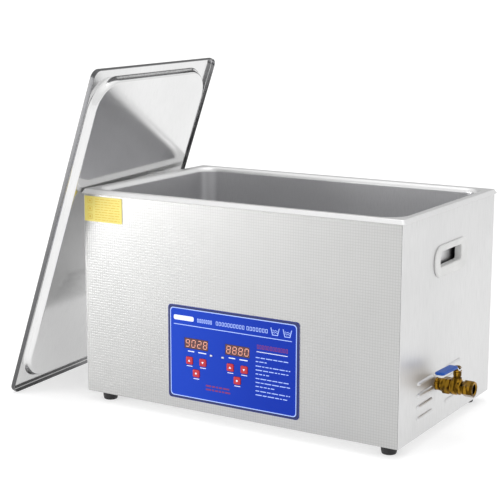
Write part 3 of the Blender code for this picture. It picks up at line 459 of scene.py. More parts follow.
def loft(rings, fill_first=True, fill_last=False, flip=False):
    """A skin through closed rings of equal length, facing +Z where the rings grow outwards."""
    bm = bmesh.new()
    rows = [[bm.verts.new(point) for point in ring] for ring in rings]
    if fill_first:
        bm.faces.new(rows[0])
    for inner, outer in zip(rows, rows[1:]):
        for i in range(len(inner)):
            j = (i + 1) % len(inner)
            bm.faces.new((inner[i], outer[i], outer[j], inner[j]))
    if fill_last:
        bm.faces.new(list(reversed(rows[-1])))
    if flip:
        bmesh.ops.reverse_faces(bm, faces=bm.faces)
    return bm


def turned(profile, axis="Z", centre=(0, 0, 0), segments=48, bm=None):
    """Turns (radius, height) points about an axis; points on the axis close the ends."""
    bm = bm or bmesh.new()
    rows = []
    for radius, height in profile:
        if radius < 1e-6:
            rows.append([bm.verts.new((0, 0, height))])
            continue
        angles = [2 * math.pi * i / segments for i in range(segments)]
        rows.append([bm.verts.new((radius * math.cos(a), radius * math.sin(a), height)) for a in angles])
    faces = []
    for upper, lower in zip(rows, rows[1:]):
        for i in range(segments):
            j = (i + 1) % segments
            corners = ((upper, i), (lower, i), (lower, j), (upper, j))
            loop = list(dict.fromkeys(row[number % len(row)] for row, number in corners))
            if len(loop) > 2:
                faces.append(bm.faces.new(loop))
    verts = [vert for row in rows for vert in row]
    matrix = Matrix.Translation(centre) @ TURN_TO[axis]
    placed(bm, verts, matrix)
    return bm


def ring_bar(radius, wire, axis, centre, bm, segments=96):
    """A torus."""
    angles = [2 * math.pi * i / 12 for i in range(13)]
    section = [(radius + wire * math.cos(a), wire * math.sin(a)) for a in angles]
    before = len(bm.verts)
    turned(list(reversed(section)), axis, centre, segments, bm)
    bm.verts.ensure_lookup_table()
    bmesh.ops.remove_doubles(bm, verts=bm.verts[before:], dist=1e-4)
    return bm


def add_box(bm, low, high):
    verts = bmesh.ops.create_cube(bm, size=1.0)["verts"]
    pairs = [sorted(pair) for pair in zip(low, high)]
    bmesh.ops.scale(bm, vec=[top - bottom for bottom, top in pairs], verts=verts)
    bmesh.ops.translate(bm, vec=[(top + bottom) / 2 for bottom, top in pairs], verts=verts)
    return bm


def prism(bm, outline, near, far, place=None):
    """A closed prism between two depths along +Z of a flat outline of (x, y) points."""
    place = place or Matrix.Identity(4)
    rows = [[bm.verts.new(place @ Vector((x, y, depth))) for x, y in outline] for depth in (near, far)]
    faces = [bm.faces.new(rows[1]), bm.faces.new(list(reversed(rows[0])))]
    for i in range(len(outline)):
        j = (i + 1) % len(outline)
        faces.append(bm.faces.new((rows[0][i], rows[0][j], rows[1][j], rows[1][i])))
    bmesh.ops.recalc_face_normals(bm, faces=faces)
    return bm


def frame_prism(bm, outer, inner, near, far, place):
    """A closed frame between two outlines of equal length."""
    rows = [
        [bm.verts.new(place @ Vector((x, y, depth))) for x, y in outline]
        for outline, depth in ((outer, near), (outer, far), (inner, far), (inner, near))
    ]
    count = len(outer)
    faces = []
    for a, b in zip(rows, rows[1:] + rows[:1]):
        for i in range(count):
            j = (i + 1) % count
            faces.append(bm.faces.new((a[i], a[j], b[j], b[i])))
    bmesh.ops.recalc_face_normals(bm, faces=faces)
    return bm


def outline(half_x, half_y, radius, centre=(0.0, 0.0), steps=6):
    points = rounded_ring(half_x, half_y, radius, 0.0, steps)
    return [(x + centre[0], y + centre[1]) for x, y, _ in points]


def corners_outline(low, high, radius, steps=6):
    centre = [(a + b) / 2 for a, b in zip(low, high)]
    half = [(b - a) / 2 for a, b in zip(low, high)]
    return outline(*half, radius, centre, steps)


def plate(name, loops, thickness, place, material):
    """A flat plate with holes, raw: the first loop is its edge, and its outer face looks along +Z."""
    edge, *holes = loops
    obj = raw(name, prism(bmesh.new(), edge, -thickness, 0.0, place), material)
    if holes:
        cutter = bmesh.new()
        for hole in holes:
            prism(cutter, hole, -thickness - 1.0, 1.0, place)
        combine(obj, raw("holes", cutter, material))
    return obj


def front_place(depth):
    """Outline X to casing X and outline Y to casing Z, with the outer side towards -Y."""
    return Matrix.Translation((0, depth, 0)) @ Matrix.Rotation(math.pi / 2, 4, "X")


def end_place(side, depth):
    """Outline X to casing Y, mirrored on the left end, and outline Y to Z, facing outwards."""
    return Matrix(((0, 0, side, side * depth), (side, 0, 0, 0), (0, 1, 0, 0), (0, 0, 0, 1)))


# ---------------------------------------------------------------- casing


def panels():
    """Front, rear and base keep their CAD shape; their edges are eased."""
    dress("front_panel", "grid_steel", 0.25)
    dress("rear_panel", "satin_steel", 0.25)
    dress("base_plate", "satin_steel", 0.25)


def dress(node, material, bevel=0.0, segments=2):
    """Keeps a CAD node, with its edges eased and a better finish."""
    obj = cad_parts[node]
    obj.data.materials.clear()
    obj.data.materials.append(PAINTS[material])
    normals = obj.data.attributes.get("custom_normal")
    if normals:
        obj.data.attributes.remove(normals)
    obj.data.shade_smooth()
    weld = obj.modifiers.new("weld", "WELD")
    weld.merge_threshold = 2e-6
    if bevel:
        edge = obj.modifiers.new("edge", "BEVEL")
        edge.width = bevel * MM
        edge.segments = segments
        edge.limit_method = "ANGLE"
        edge.angle_limit = math.radians(35)
        edge.harden_normals = True
    return obj


def side_sheet(side, name):
    """End sheet with its hand slot and drain hole, and the openings behind the louvres."""
    half = FACE_Y
    margin = COLLAR_WALL + GAP
    slot_low = (SLOT_LOW[0] - margin, SLOT_LOW[1] - margin)
    slot_high = (SLOT_HIGH[0] + margin, SLOT_HIGH[1] + margin)
    loops = [
        corners_outline((-half, CASE_LOW), (half, CASE_TOP), 1.0, 2),
        corners_outline(slot_low, slot_high, SLOT_CORNER + margin, 6),
    ]
    for y in LOUVRE_YS:
        for row in range(LOUVRE_ROWS):
            low_z = louvre_low(row)
            high_z = low_z + LOUVRE_HEIGHT - 1.4
            reach = LOUVRE_LENGTH / 2 - 1.6
            loops.append(corners_outline((y - reach, low_z), (y + reach, high_z), 1.4, 3))
    if side > 0:
        loops.append([(VALVE_Y + x, VALVE_Z + y) for x, y in outline(9.4, 9.4, 9.4)])
    if side < 0:
        loops = [[(-y, z) for y, z in loop] for loop in loops]
    sheet = plate(name, loops, SHEET, end_place(side, FACE_X), "satin_steel")
    seat(soften(sheet, bevel=0.25), nodes=(name.replace("sheet", "side_panel"),))
    louvres(side, name.replace("sheet", "louvres"))


def louvre_low(row):
    return LOUVRE_TOP - row * LOUVRE_PITCH - LOUVRE_HEIGHT


def louvres(side, name):
    """Pressed hoods: a quarter round that swells out of the sheet and ends in rounded noses."""
    bm = bmesh.new()
    along, around, nose = 36, 10, 6.0
    half = LOUVRE_LENGTH / 2
    for y in LOUVRE_YS:
        for row in range(LOUVRE_ROWS):
            rows = []
            for i in range(along + 1):
                share = math.sin(math.pi * (i / along - 0.5))
                offset = half * share
                into_nose = max(0.0, (abs(offset) - half + nose) / nose)
                swell = math.sqrt(max(0.0, 1.0 - into_nose ** 2))
                rows.append([])
                for j in range(around + 1):
                    angle = math.pi / 2 * j / around
                    out = LOUVRE_PROUD * swell * math.cos(angle)
                    rise = LOUVRE_HEIGHT * (0.35 + 0.65 * swell) * math.sin(angle) + 0.2 * swell
                    place = (side * (FACE_X - 0.1 + out), y + offset, louvre_low(row) + rise - 0.2)
                    rows[-1].append(bm.verts.new(place))
            for near, far in zip(rows, rows[1:]):
                for j in range(around):
                    bm.faces.new((near[j], far[j], far[j + 1], near[j + 1]))
    bmesh.ops.remove_doubles(bm, verts=bm.verts, dist=1e-3)
    face_out(bm)
    if side * sum(face.normal.x for face in bm.faces) < 0:
        bmesh.ops.reverse_faces(bm, faces=bm.faces)
    piece(name, bm, "satin_steel", sheet=0.8, angle=50)


def hand_trim(side, name):
    """Moulded grip: a dished plate with soft edges and a collar that lines the slot."""
    outer = [
        (TRIM_HALF[0], TRIM_HALF[1], TRIM_HALF[1] - 2.0, 0.0),
        (TRIM_HALF[0], TRIM_HALF[1], TRIM_HALF[1] - 2.0, TRIM_THICK - 1.4),
        (TRIM_HALF[0] - 0.4, TRIM_HALF[1] - 0.4, TRIM_HALF[1] - 2.4, TRIM_THICK - 0.5),
        (TRIM_HALF[0] - 1.4, TRIM_HALF[1] - 1.4, TRIM_HALF[1] - 3.4, TRIM_THICK),
        (TRIM_HALF[0] - 3.0, TRIM_HALF[1] - 3.0, TRIM_HALF[1] - 5.0, TRIM_THICK - 0.1),
    ]
    slot_half = [(b - a) / 2 for a, b in zip(SLOT_LOW, SLOT_HIGH)]
    slot_middle = [(a + b) / 2 for a, b in zip(SLOT_LOW, SLOT_HIGH)]
    collar_end = -COLLAR_DEPTH - GAP
    inner = [(3.6, TRIM_THICK - 0.9), (1.6, TRIM_THICK - 1.1), (0.5, TRIM_THICK - 1.7)]
    inner += [(0.0, TRIM_THICK - 2.8), (0.0, collar_end)]
    inner += [(COLLAR_WALL, collar_end), (COLLAR_WALL, 0.0)]
    rings = [trim_ring(*shape, (0.0, TRIM_Z)) for shape in outer]
    for margin, height in inner:
        halves = [half + margin for half in slot_half]
        rings.append(trim_ring(*halves, SLOT_CORNER + margin, height, slot_middle))
    rings.append(rings[0])
    bm = loft(rings, fill_first=False)
    bmesh.ops.remove_doubles(bm, verts=bm.verts, dist=1e-4)
    face_out(bm)
    placed(bm, bm.verts, end_place(side, FACE_X + GAP))
    piece(name, bm, "grey_plastic", nodes=(name.replace("_grip", "_hand_trim"),), angle=40)


def trim_ring(half_x, half_y, corner, height, centre):
    ring = rounded_ring(half_x, half_y, min(corner, half_y), height, 12)
    return [(x + centre[0], y + centre[1], z) for x, y, z in ring]


def feet():
    """Moulded rubber feet with a rolled edge, a chamfered tread and a sunk screw underneath."""
    profile = [
        (0, 2.0), (4.2, 2.0), (4.2, 0.0), (9.0, 0.0), (10.0, 0.4), (10.6, 1.4), (11.3, 5.0),
        (12.0, 11.0), (12.2, 12.0), (12.2, 14.9), (11.4, 15.7), (0, 15.7),
    ]
    for node in ("foot_front_left", "foot_front_right", "foot_rear_left", "foot_rear_right"):
        low, high = span(node)
        centre = (low + high) / 2 - MIDDLE
        bm = turned(list(reversed(profile)), "Z", (centre.x, centre.y, 0.0), 56)
        face_out(bm)
        piece(node.replace("foot", "rubber_foot"), bm, "rubber", nodes=(node,), angle=50)


def tank_skin():
    """Drawn tank: floor, fillet, walls, rolled edge, flat rim and slanted lip in one skin."""
    half_x, half_y = TANK_HALF
    floor = RIM_TOP - TANK_DEEP
    rings = []
    for step in range(9):
        angle = math.pi / 2 * step / 8
        inset = TANK_FILLET * (1 - math.sin(angle))
        height = floor + TANK_FILLET * (1 - math.cos(angle))
        rings.append((half_x - inset, half_y - inset, TANK_CORNER - inset, height))
    for step in range(9):
        angle = math.pi / 2 * step / 8
        spread = TANK_ROLL * (1 - math.cos(angle))
        height = RIM_TOP - TANK_ROLL * (1 - math.sin(angle))
        rings.append((half_x + spread, half_y + spread, TANK_CORNER + spread, height))
    rim_x, rim_y = RIM_HALF
    lip_x, lip_y = LIP_HALF
    rings.append((rim_x - 1.4, rim_y - 1.4, 2.4, RIM_TOP))
    rings.append((rim_x - 0.4, rim_y - 0.4, 3.2, RIM_TOP - 0.25))
    rings.append((rim_x + 0.3, rim_y + 0.3, 3.8, RIM_TOP - 0.95))
    rings.append((lip_x, lip_y, 5.0, RIM_TOP - LIP_DROP))
    bm = loft([rounded_ring(*ring, 20) for ring in rings])
    obj = raw("wash_tank", bm, "tank_steel")
    soften(obj, sheet=TANK_WALL)
    fitting_low, fitting_high = span("tank_drain_fitting")
    centre = (fitting_low + fitting_high) / 2 - MIDDLE
    hole = turned([(0, 10), (11.5, 10), (11.5, -10), (0, -10)], "Z", (centre.x, centre.y, floor))
    combine(obj, raw("hole", hole, "brass"))
    obj.data.materials.append(PAINTS["rim_steel"])
    rim_slot = len(obj.data.materials) - 1
    for face in obj.data.polygons:
        if face.center.z / MM > RIM_TOP - LIP_DROP - 1.0:
            face.material_index = rim_slot
    seat(obj, nodes=("tank",))
    strainer(centre, floor)


def strainer(centre, floor):
    """Flanged drain fitting with a dished strainer plate in its mouth."""
    rim = [
        (9.0, -22.5), (9.0, 1.2), (9.6, 1.8), (14.0, 1.8), (15.0, 1.2), (15.0, GAP), (11.0, GAP),
        (11.0, -22.5), (9.0, -22.5),
    ]
    bm = turned(list(reversed(rim)), "Z", (centre.x, centre.y, floor), 56)
    bmesh.ops.remove_doubles(bm, verts=bm.verts, dist=1e-4)
    face_out(bm)
    piece("drain_flange", bm, "machined_steel", "bright_steel", nodes=("tank_drain_fitting",))
    loops = [outline(9.0, 9.0, 9.0, steps=10)]
    for count, radius in ((1, 0.0), (6, 3.2), (12, 6.0)):
        for number in range(count):
            angle = 2 * math.pi * number / count
            loops.append(outline(0.7, 0.7, 0.7, (radius * math.cos(angle), radius * math.sin(angle)), 3))
    place = Matrix.Translation((centre.x, centre.y, floor + 0.6))
    seat(soften(plate("drain_strainer", loops, 0.6, place, "machined_steel"), angle=50))


# ---------------------------------------------------------------- control panel


def overlay():
    """Membrane sheet with a navy edge, its windows and everything printed on it."""
    place = front_place(PANEL_Y)
    holes = []
    for x in DISPLAY_XS:
        holes.append(outline(DISPLAY_HALF[0] + GAP, DISPLAY_HALF[1] + GAP, 0.8, (x, DISPLAY_Z), 3))
    for x, z in key_places().values():
        holes.append(outline(KEY_HALF[0] + GAP, KEY_HALF[1] + GAP, 2.2, (x, z), 5))
    for x in LAMP_XS:
        holes.append(outline(LAMP_HALF[0] + GAP, LAMP_HALF[1] + GAP, 0.6, (x, LAMP_Z), 3))
    edge = outline(*OVERLAY_HALF, OVERLAY_CORNER, (0, OVERLAY_Z), 8)
    sheet = plate("membrane_sheet", [edge] + holes, OVERLAY_THICK, place, "blue_print")
    seat(soften(sheet, bevel=0.15), nodes=("control_overlay",))
    printing(place)
    displays()
    keys()


def key_places():
    places = {}
    for subject, x in zip(("temperature", "time"), DISPLAY_XS):
        places[f"{subject}_up"] = (x - KEY_SPREAD, KEY_ZS[0])
        places[f"{subject}_down"] = (x + KEY_SPREAD, KEY_ZS[0])
        places[f"{subject}_start"] = (x, KEY_ZS[1])
    return places


def printing(place):
    """Border, title, help column and marks; bars and hollow boxes stand where lettering would be."""
    white, pale, red, navy = bmesh.new(), bmesh.new(), bmesh.new(), bmesh.new()
    half_x, half_y = OVERLAY_HALF
    middle = (0, OVERLAY_Z)
    corners = ((0.3, 4.7), (3.7, 5.6), (5.0, 5.0))
    band = [outline(half_x - inset, half_y - inset, radius, middle, 8) for inset, radius in corners]
    frame_prism(navy, band[0], band[1], 0.0, 0.5 * INK, place)
    frame_prism(pale, band[1], band[2], 0.0, INK, place)
    bar(pale, (-101.0, 99.5), 144.9, 1.1, place)
    bar(white, (-100.8, -65.7), 155.1, 7.2, place, 2.2)
    for ends, letters in (((-60.0, -33.5), 7), ((-27.8, 21.8), 10), ((24.2, 60.6), 7)):
        boxes(pale, ends, 154.4, letters, 5.8, place)
    for x in (72.0, 92.0):
        tub_symbol(pale, x, 155.3, place)
    boxes(red, (41.8, 93.5), 129.6, 12, 6.2, place)
    bar(white, (41.8, 92.8), 122.3, 0.9, place)
    words = random.Random(11)
    z = 113.6
    for lines, last_end in ((2, 58.5), (3, 62.5), (3, 71.3), (2, 92.5)):
        for line in range(lines):
            word_row(pale, 40.3, 97.0 if line < lines - 1 else last_end, z, 2.4, words, place)
            z -= 5.9
        z -= 0.75
    for z in (58.2, 52.6):
        word_row(red, -44.8, -2.5, z, 4.2, words, place)
    captions(white, place)
    for name, bm, material in (
        ("navy_border", navy, "navy_print"), ("white_print", white, "white_ink"),
        ("pale_print", pale, "pale_ink"), ("red_print", red, "red_ink"),
    ):
        piece(name, bm, material, "blue_print", angle=50)


def bar(bm, ends, z, height, place, radius=0.4):
    shape = corners_outline((ends[0], z - height / 2), (ends[1], z + height / 2), radius, 3)
    prism(bm, shape, 0.0, INK, place)


def boxes(bm, ends, z, count, height, place):
    """A row of small hollow boxes in place of lettering."""
    pitch = (ends[1] - ends[0]) / count
    half_x, half_z, stroke = 0.36 * pitch, height / 2, 0.8
    for number in range(count):
        centre = (ends[0] + (number + 0.5) * pitch, z)
        outer = outline(half_x, half_z, 0.6, centre, 2)
        inner = outline(half_x - stroke, half_z - stroke, 0.3, centre, 2)
        frame_prism(bm, outer, inner, 0.0, INK, place)


def word_row(bm, start, end, z, height, words, place):
    """A line of plain dashes of different lengths in place of small print."""
    x = start
    while x < end - 2.0:
        length = min(3.0 + 8.0 * words.random(), end - x)
        bar(bm, (x, x + length), z, height * 0.55, place, 0.3)
        x += length + 1.5


def captions(bm, place):
    """Short dashes under the displays, by the lamps and under the keys."""
    for x, z in key_places().values():
        bar(bm, (x - 5.0, x + 5.0), z - 8.3, 1.0, place, 0.3)
    for x in DISPLAY_XS:
        bar(bm, (x - 14.5, x - 3.4), 106.2, 1.4, place)
        bar(bm, (x + 3.6, x + 17.6), 106.2, 1.4, place)


def tub_symbol(bm, x, z, place):
    """A pictogram of a tub with two waves in it."""
    points = [(-7.4, 5.5), (-4.6, -5.5), (4.6, -5.5), (7.4, 5.5)]
    points += [(6.2, 5.5), (3.7, -4.4), (-3.7, -4.4), (-6.2, 5.5)]
    prism(bm, [(x + a, z + b) for a, b in points], 0.0, INK, place)
    for level in (-0.8, 2.0):
        shares = [i / 12 for i in range(13)]
        upper = [(-4.2 + 8.4 * share, level + 0.7 * math.sin(4 * math.pi * share)) for share in shares]
        lower = [(a, b - 0.8) for a, b in reversed(upper)]
        prism(bm, [(x + a, z + b) for a, b in upper + lower], 0.0, INK, place)


def displays():
    """Dark windows with four glowing seven-part digits each, and two small lamps."""
    face = front_place(PANEL_Y + 0.2)
    for name, node, x, numbers in (
        ("temperature_window", "temperature_display", DISPLAY_XS[0], "9028"),
        ("timer_window", "timer_display", DISPLAY_XS[1], "8880"),
    ):
        bm = prism(bmesh.new(), outline(*DISPLAY_HALF, 0.5, (x, DISPLAY_Z), 3), -7.0, 0.0, face)
        piece(name, bm, "display", nodes=(node,), bevel=0.2)
        digits = bmesh.new()
        for number, digit in enumerate(numbers):
            add_digit(digits, digit, x + 0.3 + (number - 1.5) * 10.2, DISPLAY_Z, face)
        piece(f"{name}_digits", digits, "digit_glow", "display", angle=60)
    for node, x in zip(("heater_lamp", "working_lamp"), LAMP_XS):
        rings = []
        for inset, height in ((0.0, -7.0), (0.0, 0.0), (0.3, 0.3), (0.8, 0.45)):
            ring = rounded_ring(LAMP_HALF[0] - inset, LAMP_HALF[1] - inset, 0.4, height, 4)
            rings.append([(px + x, py + LAMP_Z, pz) for px, py, pz in ring])
        bm = loft(list(reversed(rings)), fill_last=True)
        placed(bm, bm.verts, front_place(PANEL_Y))
        piece(f"{node}_lens", bm, "lamp_lens", nodes=(node,), angle=50)


def add_digit(bm, digit, x, z, place):
    """Pointed bars of a seven-part digit, leaning a little to the right."""
    half_w, half_h, thick, lean = 2.9, 5.2, 1.0, 0.10
    levels = {"a": half_h, "g": 0.0, "d": -half_h}
    bars = {name: ((-half_w, level), (half_w, level)) for name, level in levels.items()}
    for names, side in (("fe", -half_w), ("bc", half_w)):
        bars[names[0]] = ((side, 0.0), (side, half_h))
        bars[names[1]] = ((side, -half_h), (side, 0.0))
    for name in DIGITS[digit]:
        start, end = (Vector(spot) for spot in bars[name])
        along = (end - start).normalized()
        out = Vector((-along.y, along.x)) * thick / 2
        a, b = start + along * 0.35, end - along * 0.35
        points = [a, a + along * thick / 2 - out, b - along * thick / 2 - out, b]
        points += [b - along * thick / 2 + out, a + along * thick / 2 + out]
        prism(bm, [(x + p.x + lean * p.y, z + p.y) for p in points], 0.0, INK, place)


def keys():
    """Red keys with a soft crowned cap, and a white symbol on each."""
    symbols = {"up": arrow(1), "down": arrow(-1), "start": outline(1.5, 1.5, 1.5)}
    for name, (x, z) in key_places().items():
        rings = []
        for inset, height in ((0.0, -2.2), (0.0, 0.5), (0.25, 0.95), (0.8, 1.15), (2.2, 1.2)):
            halves = [half - inset for half in KEY_HALF]
            ring = rounded_ring(*halves, max(2.0 - 0.3 * inset, 1.2), height, 6)
            rings.append([(px + x, py + z, height) for px, py, _ in ring])
        bm = loft(list(reversed(rings)), fill_last=True)
        placed(bm, bm.verts, front_place(PANEL_Y))
        cap = raw(f"{name}_cap", bm, "red_key")
        seat(soften(cap, angle=50), name, (f"{name}_key",))
        mark = bmesh.new()
        shape = symbols[name.rsplit("_", 1)[1]]
        prism(mark, [(x + a, z + b) for a, b in shape], 0.0, INK, front_place(PANEL_Y - KEY_PROUD))
        piece(f"{name}_symbol", mark, "white_ink", "red_key", name, angle=50)


def arrow(way):
    return [(-2.0, -1.4 * way), (2.0, -1.4 * way), (0.0, 1.8 * way)]


def caution_sticker():
    """Yellow sticker with three small pictogram boxes and rows of plain dashes."""
    low, high = span("caution_label")
    low, high = low - MIDDLE, high - MIDDLE
    place = front_place(low.y)
    edge = corners_outline((low.x, low.z), (high.x, high.z), 1.2, 4)
    sticker = plate("caution_sticker", [edge], 0.3, place, "yellow_label")
    seat(soften(sticker, bevel=0.1), nodes=("caution_label",))
    print_bm = bmesh.new()
    rng = random.Random(5)
    for number in range(3):
        centre = (low.x + 10.5, high.z - 7.0 - number * 12.0)
        outer, inner = (outline(half, half * 0.85, 0.8, centre, 3) for half in (4.4, 3.7))
        frame_prism(print_bm, outer, inner, 0.0, INK, place)
        prism(print_bm, outline(1.6, 1.6, 1.6, centre, 4), 0.0, INK, place)
    for number in range(9):
        z = high.z - 4.0 - number * 3.9
        word_row(print_bm, low.x + 20.0, high.x - 4.0, z, 2.0, rng, place)
    piece("caution_print", print_bm, "label_ink", "yellow_label", angle=50)


# ---------------------------------------------------------------- drain valve


def hexagon_nut(start, length, across_corners, axis, centre, spin=0.0, chamfer=1.0):
    """A hexagonal bar whose corners are turned down at both ends."""
    bm = bmesh.new()
    made = bmesh.ops.create_cone(
        bm, cap_ends=True, segments=6, radius1=across_corners, radius2=across_corners, depth=length
    )
    middle = Matrix.Translation((0, 0, start + length / 2)) @ Matrix.Rotation(spin, 4, "Z")
    placed(bm, made["verts"], middle)
    placed(bm, bm.verts, Matrix.Translation(centre) @ TURN_TO[axis])
    nut = raw("nut", bm, "brass")
    flat = across_corners * math.cos(math.pi / 6)
    top, low = start + length, start
    profile = [
        (0, top), (flat - 0.2, top), (across_corners + 0.1, top - chamfer),
        (across_corners + 0.1, low + chamfer), (flat - 0.2, low), (0, low),
    ]
    return combine(nut, raw("turn", turned(profile, axis, centre, 64), "brass"), "INTERSECT")


def valve():
    """Brass ball valve: threaded tail, two hexagons with turned collars, and an open hose end."""
    axis = (0.0, VALVE_Y, VALVE_Z)
    tail = [(0, 274.0)]
    pitch = 1.8
    x = 274.0
    while x > VALVE_START + pitch:
        tail += [(8.3, x), (9.0, x - pitch / 2)]
        x -= pitch
    tail += [(8.3, VALVE_START), (0, VALVE_START)]
    body = raw("drain_valve", turned(tail, "X", axis, 64), "brass")
    barrel = [
        (0, 310.0), (9.4, 310.0), (9.4, 303.2), (10.2, 302.6), (10.9, 301.8), (10.9, 299.8), (10.2, 299.0),
        (10.2, 298.0), (11.3, 297.2), (11.6, 296.2), (11.6, 288.8), (11.0, 287.6), (10.0, 287.0),
        (9.4, 286.4), (9.4, 272.0), (0, 272.0),
    ]
    combine(body, raw("barrel", turned(barrel, "X", axis, 64), "brass"), "UNION")
    combine(body, hexagon_nut(275.5, 11.5, 12.4, "X", axis), "UNION")
    combine(body, hexagon_nut(VALVE_END - 15.0, 15.0, 12.0, "X", axis, math.radians(30)), "UNION")
    bonnet = [
        (0, 22.5), (5.4, 22.5), (6.0, 21.9), (6.0, 17.0), (5.2, 16.4), (5.2, 15.0), (6.4, 14.2), (6.8, 12.0),
        (8.0, 8.5), (0, 8.5),
    ]
    combine(body, raw("bonnet", turned(bonnet, "Z", (VALVE_BALL, VALVE_Y, VALVE_Z), 48), "brass"), "UNION")
    bore = [
        (0, VALVE_END + 5), (8.6, VALVE_END + 5), (8.6, VALVE_END + 0.1), (7.8, VALVE_END - 1.0),
        (7.2, VALVE_END - 1.4), (7.2, VALVE_END - 16), (5.0, VALVE_END - 18),
    ]
    chamber = 8.1
    meeting = math.asin(5.0 / chamber)
    for step in range(13):
        angle = meeting + (math.pi - 2 * meeting) * step / 12
        bore.append((chamber * math.sin(angle), VALVE_BALL + chamber * math.cos(angle)))
    bore += [(5.0, VALVE_START - 5), (0, VALVE_START - 5)]
    combine(body, raw("bore", turned(bore, "X", axis, 48), "brass"))
    stem_hole = [(0, 30), (STEM_HOLE, 30), (STEM_HOLE, 3), (0, 3)]
    combine(body, raw("stem_hole", turned(stem_hole, "Z", (VALVE_BALL, VALVE_Y, VALVE_Z), 32), "brass"))
    seat(soften(body, bevel=0.25, angle=40), nodes=("valve_body",))


def lever():
    """Pressed steel lever under a dipped blue sleeve, held by a nut on the stem."""
    base = span("valve_lever")[0].z
    pivot = Vector((VALVE_BALL, VALVE_Y, VALVE_Z))
    path = smooth_path([(7.0, 1.0), (-8.0, 1.0), LEVER_BEND, LEVER_TIP], 5.0)
    half = 6.0
    rows = []
    for y, z in path:
        taper = min(1.0, 0.78 + 0.22 * max(0.0, (7.0 - y) / 12.0))
        across = [half * taper * share for share in (-1, -0.5, 0, 0.5, 1)]
        rows.append([(pivot.x + x, pivot.y + y, base + z + 1.0) for x in across])
    bm = bmesh.new()
    verts = [[bm.verts.new(point) for point in row] for row in rows]
    for a, b in zip(verts, verts[1:]):
        for i in range(len(a) - 1):
            bm.faces.new((b[i], b[i + 1], a[i + 1], a[i]))
    face_out(bm)
    if sum(face.normal.z for face in bm.faces) < 0:
        bmesh.ops.reverse_faces(bm, faces=bm.faces)
    strip = raw("lever_strip", bm, "machined_steel")
    soften(strip, sheet=2.0)
    profile = [(0, base + 12), (STEM_HOLE, base + 12), (STEM_HOLE, base - 8), (0, base - 8)]
    hole = turned(profile, "Z", (pivot.x, pivot.y, 0), 32)
    combine(strip, raw("hole", hole, "brass"))
    soften(strip, bevel=0.3, angle=40)
    seat(strip, "drain_lever", ("valve_lever",))
    sleeve(pivot, base)
    stem_parts(pivot)


def smooth_path(corners, bend, steps=6):
    """The (y, z) polyline with each inner corner rounded off over a length of `bend` each way."""
    points = [Vector(corners[0])]
    for before, corner, after in zip(corners, corners[1:], corners[2:]):
        corner = Vector(corner)
        back = (Vector(before) - corner)
        ahead = (Vector(after) - corner)
        reach = min(bend, back.length / 2, ahead.length / 2)
        start, end = corner + back.normalized() * reach, corner + ahead.normalized() * reach
        for step in range(steps + 1):
            share = step / steps
            pull = corner * 2 * share * (1 - share)
            points.append(start * (1 - share) ** 2 + pull + end * share ** 2)
    points.append(Vector(corners[-1]))
    return points


def sleeve(pivot, base):
    """The dipped sleeve: a soft flattened tube, open at its inner end and closed at its tip."""
    inner, tip = Vector(LEVER_BEND), Vector(LEVER_TIP)
    along = (tip - inner).normalized()
    up = Vector((along.y, -along.x))
    if up.y < 0:
        up = -up
    length = (tip - inner).length
    stations = [
        (1.5, 6.9, 2.0), (2.2, 7.2, 2.4), (6.0, 7.2, 2.4), (length * 0.5, 7.2, 2.4),
        (length - 3.0, 7.1, 2.4), (length - 0.6, 6.6, 2.2), (length + 0.9, 5.4, 1.7),
        (length + 1.7, 3.6, 1.0),
    ]
    stations.reverse()
    stations += [(1.5, 6.3, 1.3), (length - 1.0, 6.3, 1.3)]
    lie = (inner, along, up, pivot, base)
    rings = [[sleeve_point(*lie, *station, i) for i in range(SLEEVE_SIDES)] for station in stations]
    bm = loft(rings, fill_last=True)
    face_out(bm)
    piece("lever_grip", bm, "blue_sleeve", body="drain_lever", nodes=("lever_sleeve",), angle=50)


def sleeve_point(inner, along, up, pivot, base, distance, half_width, half_height, number):
    """A point of a superellipse round the lever's flat bar, at a distance along it."""
    angle = 2 * math.pi * number / SLEEVE_SIDES
    power = 0.55
    across = half_width * math.copysign(abs(math.cos(angle)) ** power, math.cos(angle))
    rise = half_height * math.copysign(abs(math.sin(angle)) ** power, math.sin(angle))
    spot = inner + along * distance + up * rise
    return (pivot.x + across, pivot.y + spot.x, base + spot.y)


def stem_parts(pivot):
    for name, node, radius in (("gland_nut", "packing_nut", 6.3), ("lever_lock_nut", "lever_nut", 5.2)):
        low, high = span(node)
        nut = hexagon_nut(0.0, high.z - low.z, radius, "Z", (pivot.x, pivot.y, low.z), 0.0, 0.5)
        profile = [(0, 20), (STEM_HOLE, 20), (STEM_HOLE, -20), (0, -20)]
        bore = turned(profile, "Z", (pivot.x, pivot.y, low.z), 32)
        combine(nut, raw("bore", bore, "brass"))
        nut.name = name
        body = "casing" if node == "packing_nut" else "drain_lever"
        seat(soften(nut, angle=30), body, (node,))
    low, high = span("valve_stem")
    profile = [(0, high.z), (2.4, high.z), (3.0, high.z - 0.6)]
    z = high.z - 0.6
    while z > high.z - 6.0:
        profile += [(2.6, z - 0.4), (3.0, z - 0.8)]
        z -= 0.8
    profile += [(3.0, low.z), (0, low.z)]
    bm = turned(profile, "Z", (pivot.x, pivot.y, 0), 32)
    face_out(bm)
    piece("threaded_stem", bm, "brass", body="drain_lever", nodes=("valve_stem",), angle=50)


# ---------------------------------------------------------------- lid


